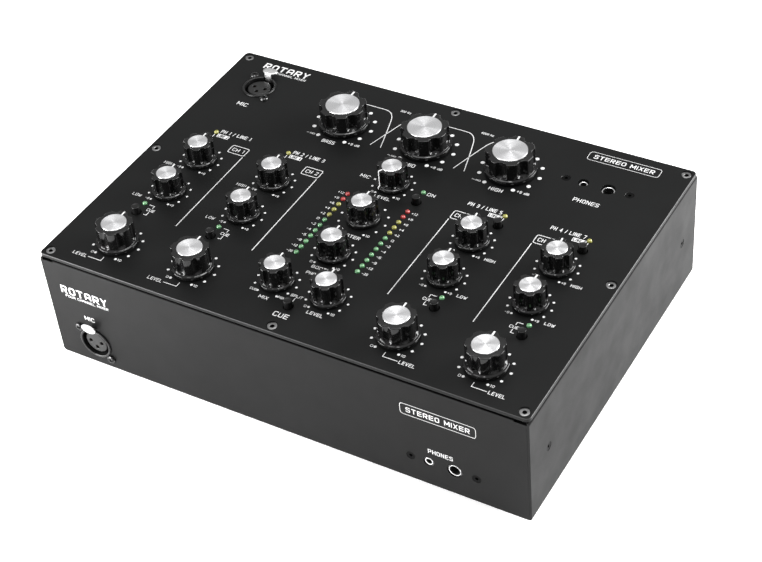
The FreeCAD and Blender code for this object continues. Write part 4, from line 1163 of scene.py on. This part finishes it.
def channel_legends(channel, number):
    """A strip's words and lines, on its left if it is left of the middle, and otherwise on its right."""
    u, v = flat_place(channel + "_high_knob")
    low_v = flat_place(channel + "_low_knob")[1]
    level_v = flat_place(channel + "_level_knob")[1]
    lamp = flat_place(channel + "_source_button")[0]
    side, title, rule = (-1, u + 6.5, u + 22.5) if u < MIDDLE_U else (1, u - 7.2, u - 22.3)
    left, right = sorted((rule, rule + side * 12.2))
    inner = lamp - side * 3.4
    words = [
        ("HIGH", u + side * 16.7, v - 10.8, 6.6, 2.3),
        ("LOW", u + side * 16.7, low_v - 10.8, 6.2, 2.3),
        ("LEVEL", u + side * 15.0, level_v - 17.5, 9.8, 2.5),
        ("PH %d / LINE %d" % (number, 2 * number - 1), title, v + 30.3, 22.4, 3.1),
        ("CH %d" % number, (left + right) / 2, 131.95, 8.6, 3.1),
        ("CUE", u, 60.0, 5.6, 2.3),
    ]
    lines = [
        ([(u, level_v - 14.0), (u, level_v - 17.5), (u + side * 9.2, level_v - 17.5)], THIN),
        ([(lamp, 140.6), (lamp, 137.6)], THIN),
        ([(rule, 127.2), (rule, 54.4)], RULE),
        ([(inner, CUE_LAMP_V), (u, CUE_LAMP_V), (u, 61.9)], THIN),
        ([(u, 58.1), (u, 55.3), (inner - side * 1.6, 55.3)], THIN),
    ]
    return ([lettering(*word) for word in words] + [line_through(*line) for line in lines]
            + [framed(left, 128.3, right, 135.6, 0.5, 1.4)])


def top_legends():
    shapes = [lettering(*words) for words in TOP_WORDS]
    shapes += names_of_console(36.7, 218.0, 38.3, 213.2, 277.7, 215.8)
    shapes.append(line_through([(MIDDLE_U, 29.6), (MIDDLE_U, 26.6)], THIN))
    for node, kind in KNOBS.items():
        shapes += dial(node, kind)
    for name, word, width in (("bass", "BASS", 8.9), ("mid", "MID", 6.6), ("treble", "HIGH", 8.9)):
        u, v = flat_place(name + "_knob")
        shapes += [lettering(word, u, v - 20.2, width, 3.1), lettering("-~", u - 14.9, v - 16.6, 6.0, 2.0),
                   lettering("+9 dB", u + 16.2, v - 16.6, 8.0, 2.1)]
    for middle in (130.9, 189.1):
        for side in (-1, 1):
            shapes.append(line_through([(middle + side * x, y) for x, y in CROSSOVER], 0.5, 3.0))
    for row, figure in enumerate(METER_FIGURES):
        v, width = METER_TOP - row * METER_PITCH, METER_WIDTHS[len(figure)]
        shapes += [lettering(figure, u, v, width, 1.9, 0.15) for u in (134.9, 185.4)]
    black = []
    for number, channel in enumerate(CHANNELS, 1):
        shapes += channel_legends(channel, number)
        u = flat_place(channel + "_high_knob")[0]
        left = u - 5.0 if u < MIDDLE_U else u - 2.8
        shapes.append(prism(rectangle(left, 138.7, left + 8.6, 141.9), INK_LOW, INK_HIGH))
        black.append(lettering("LINE %d" % (2 * number), left + 4.3, 140.3, 7.6, 2.3, 0.2))
    printed("top_legends", shapes, on_top)
    printed("top_legends_black", black, on_top, BLACK_INK, 0.02)


def front_legends():
    shapes = names_of_console(27.5, 54.2, 28.8, 49.5, 264.9, 54.2)
    shapes += [lettering("MIC", 27.5, 35.5, 7.2, 3.2), lettering("PHONES", 265.1, 27.2, 15.4, 3.2)]
    printed("front_legends", shapes, on_front)


def rear_legends():
    """Plain connection names, which a console needs beside its sockets."""
    last = RIGHT - RCA_FIRST
    low, high = limits("output_sockets")
    switch = RIGHT - centre("power_rocker").x - 21.5
    words = [
        ("INPUTS", last - 3.5 * RCA_PITCH, 15.5, 16.0, 3.0),
        ("R", RIGHT - low[0] - XLR_HALF_X, 60.5, 2.6, 3.0),
        ("L", RIGHT - high[0] + XLR_HALF_X, 60.5, 2.6, 3.0),
        ("MASTER", RIGHT - (low[0] + high[0]) / 2, 17.5, 18.0, 3.2),
        ("GND", RIGHT - centre("ground_terminal").x, 51.0, 6.6, 2.3),
        ("ON", switch, 57.5, 4.6, 2.3),
        ("OFF", switch, 50.5, 6.2, 2.3),
    ]
    shapes = []
    for column, name in enumerate(REAR_NAMES):
        u = last - (RCA_COLUMNS - 1 - column) * RCA_PITCH
        words.append((name, u, 60.5, 2.1 * len(name), 2.3))
        if column > 1:
            shapes.append(line_through([(u - 7.5, 20.0), (u + 7.5, 20.0)], THIN))
    printed("rear_legends", shapes + [lettering(*word) for word in words], on_rear)


# ---- build
PAN_SCREW = data_from("pan_screw", cross_pan_screw())
add_knobs()
add_buttons()
add_lamps()
add_screws()
add_mic_sockets(PAN_SCREW)
add_jacks()
add_phono_sockets()
add_outputs(PAN_SCREW)
top_legends()
front_legends()
rear_legends()


# ---- floor, light and camera (metres)
def add_floor():
    mesh = bpy.data.meshes.new("floor")
    low = CAD_BOX[0].z - 0.0002
    mesh.from_pydata([(x, y, low) for x, y in rectangle(-4.0, -4.0, 4.0, 4.0)], [], [(0, 1, 2, 3)])
    pale = Recipe("floor_pale", grey(0.93), 0.9, Specular_IOR_Level=0.1, Emission_Color=(1, 1, 1, 1),
                  Emission_Strength=0.5)
    pale.mottled(3.0, [(0.3, grey(0.92)), (0.7, grey(0.94))])
    mesh.materials.append(pale.material)
    linked("floor", mesh)


def aimed(name, data, place, ahead, roll=0.0):
    """A light or camera that looks ahead, rolled by so many degrees."""
    holder = linked(name, data)
    holder.location = place
    holder.rotation_mode = "QUATERNION"
    holder.rotation_quaternion = ahead.to_track_quat("-Z", "Y") @ turned_by(roll).to_quaternion()
    return holder


def add_softbox(name, place, aim, width, height, power):
    light = bpy.data.lights.new(name, "AREA")
    light.shape = "RECTANGLE"
    light.size = width
    light.size_y = height
    light.energy = power
    aimed(name, light, place, Vector(aim) - Vector(place))


def add_world():
    """A plain studio: pale near the floor, darker overhead, where the softboxes hang."""
    world = bpy.data.worlds.new("studio")
    bpy.context.scene.world = world
    world.use_nodes = True
    studio = Graph(world.node_tree)
    up = studio.split(studio.node("TexCoord").outputs["Generated"])["Z"]
    stops = [(0.0, 0.9), (0.2, 0.3), (0.45, 0.3), (0.55, 0.72), (0.78, 0.72), (0.85, 0.95), (1.0, 0.95)]
    sky = studio.ramp(up, stops)
    studio.join(sky, studio.nodes["Background"].inputs["Color"])


def add_camera():
    """Seen from the front right and above, with the camera rolled a little."""
    camera = bpy.data.cameras.new("camera")
    camera.sensor_width = 36.0
    camera.lens = 83.74
    camera.clip_start = 0.05
    camera.clip_end = 50.0
    azimuth, elevation = math.radians(33.499), math.radians(41.138)
    ahead = Vector((-math.sin(azimuth) * math.cos(elevation), math.cos(azimuth) * math.cos(elevation),
                    -math.sin(elevation)))
    bpy.context.scene.camera = aimed("camera", camera, (0.4523, -0.6818, 0.7441), ahead, -5.819)


add_floor()
add_world()
add_softbox("overhead", (-0.24, 0.24, 1.5), (0, 0, 0.05), 0.95, 0.6, 5.5)
add_softbox("strip", (0.05, 0.22, 1.5), (0, 0, 0.05), 0.1, 0.7, 3.0)
add_softbox("back_right", (0.9, 0.7, 0.5), (0.1, 0, 0.05), 0.8, 0.6, 29.0)
add_softbox("front_left", (-0.45, -0.45, 0.15), (-0.1, -0.1, 0.05), 0.4, 0.25, 8.0)
add_camera()
bpy.context.scene.view_settings.view_transform = "Standard"
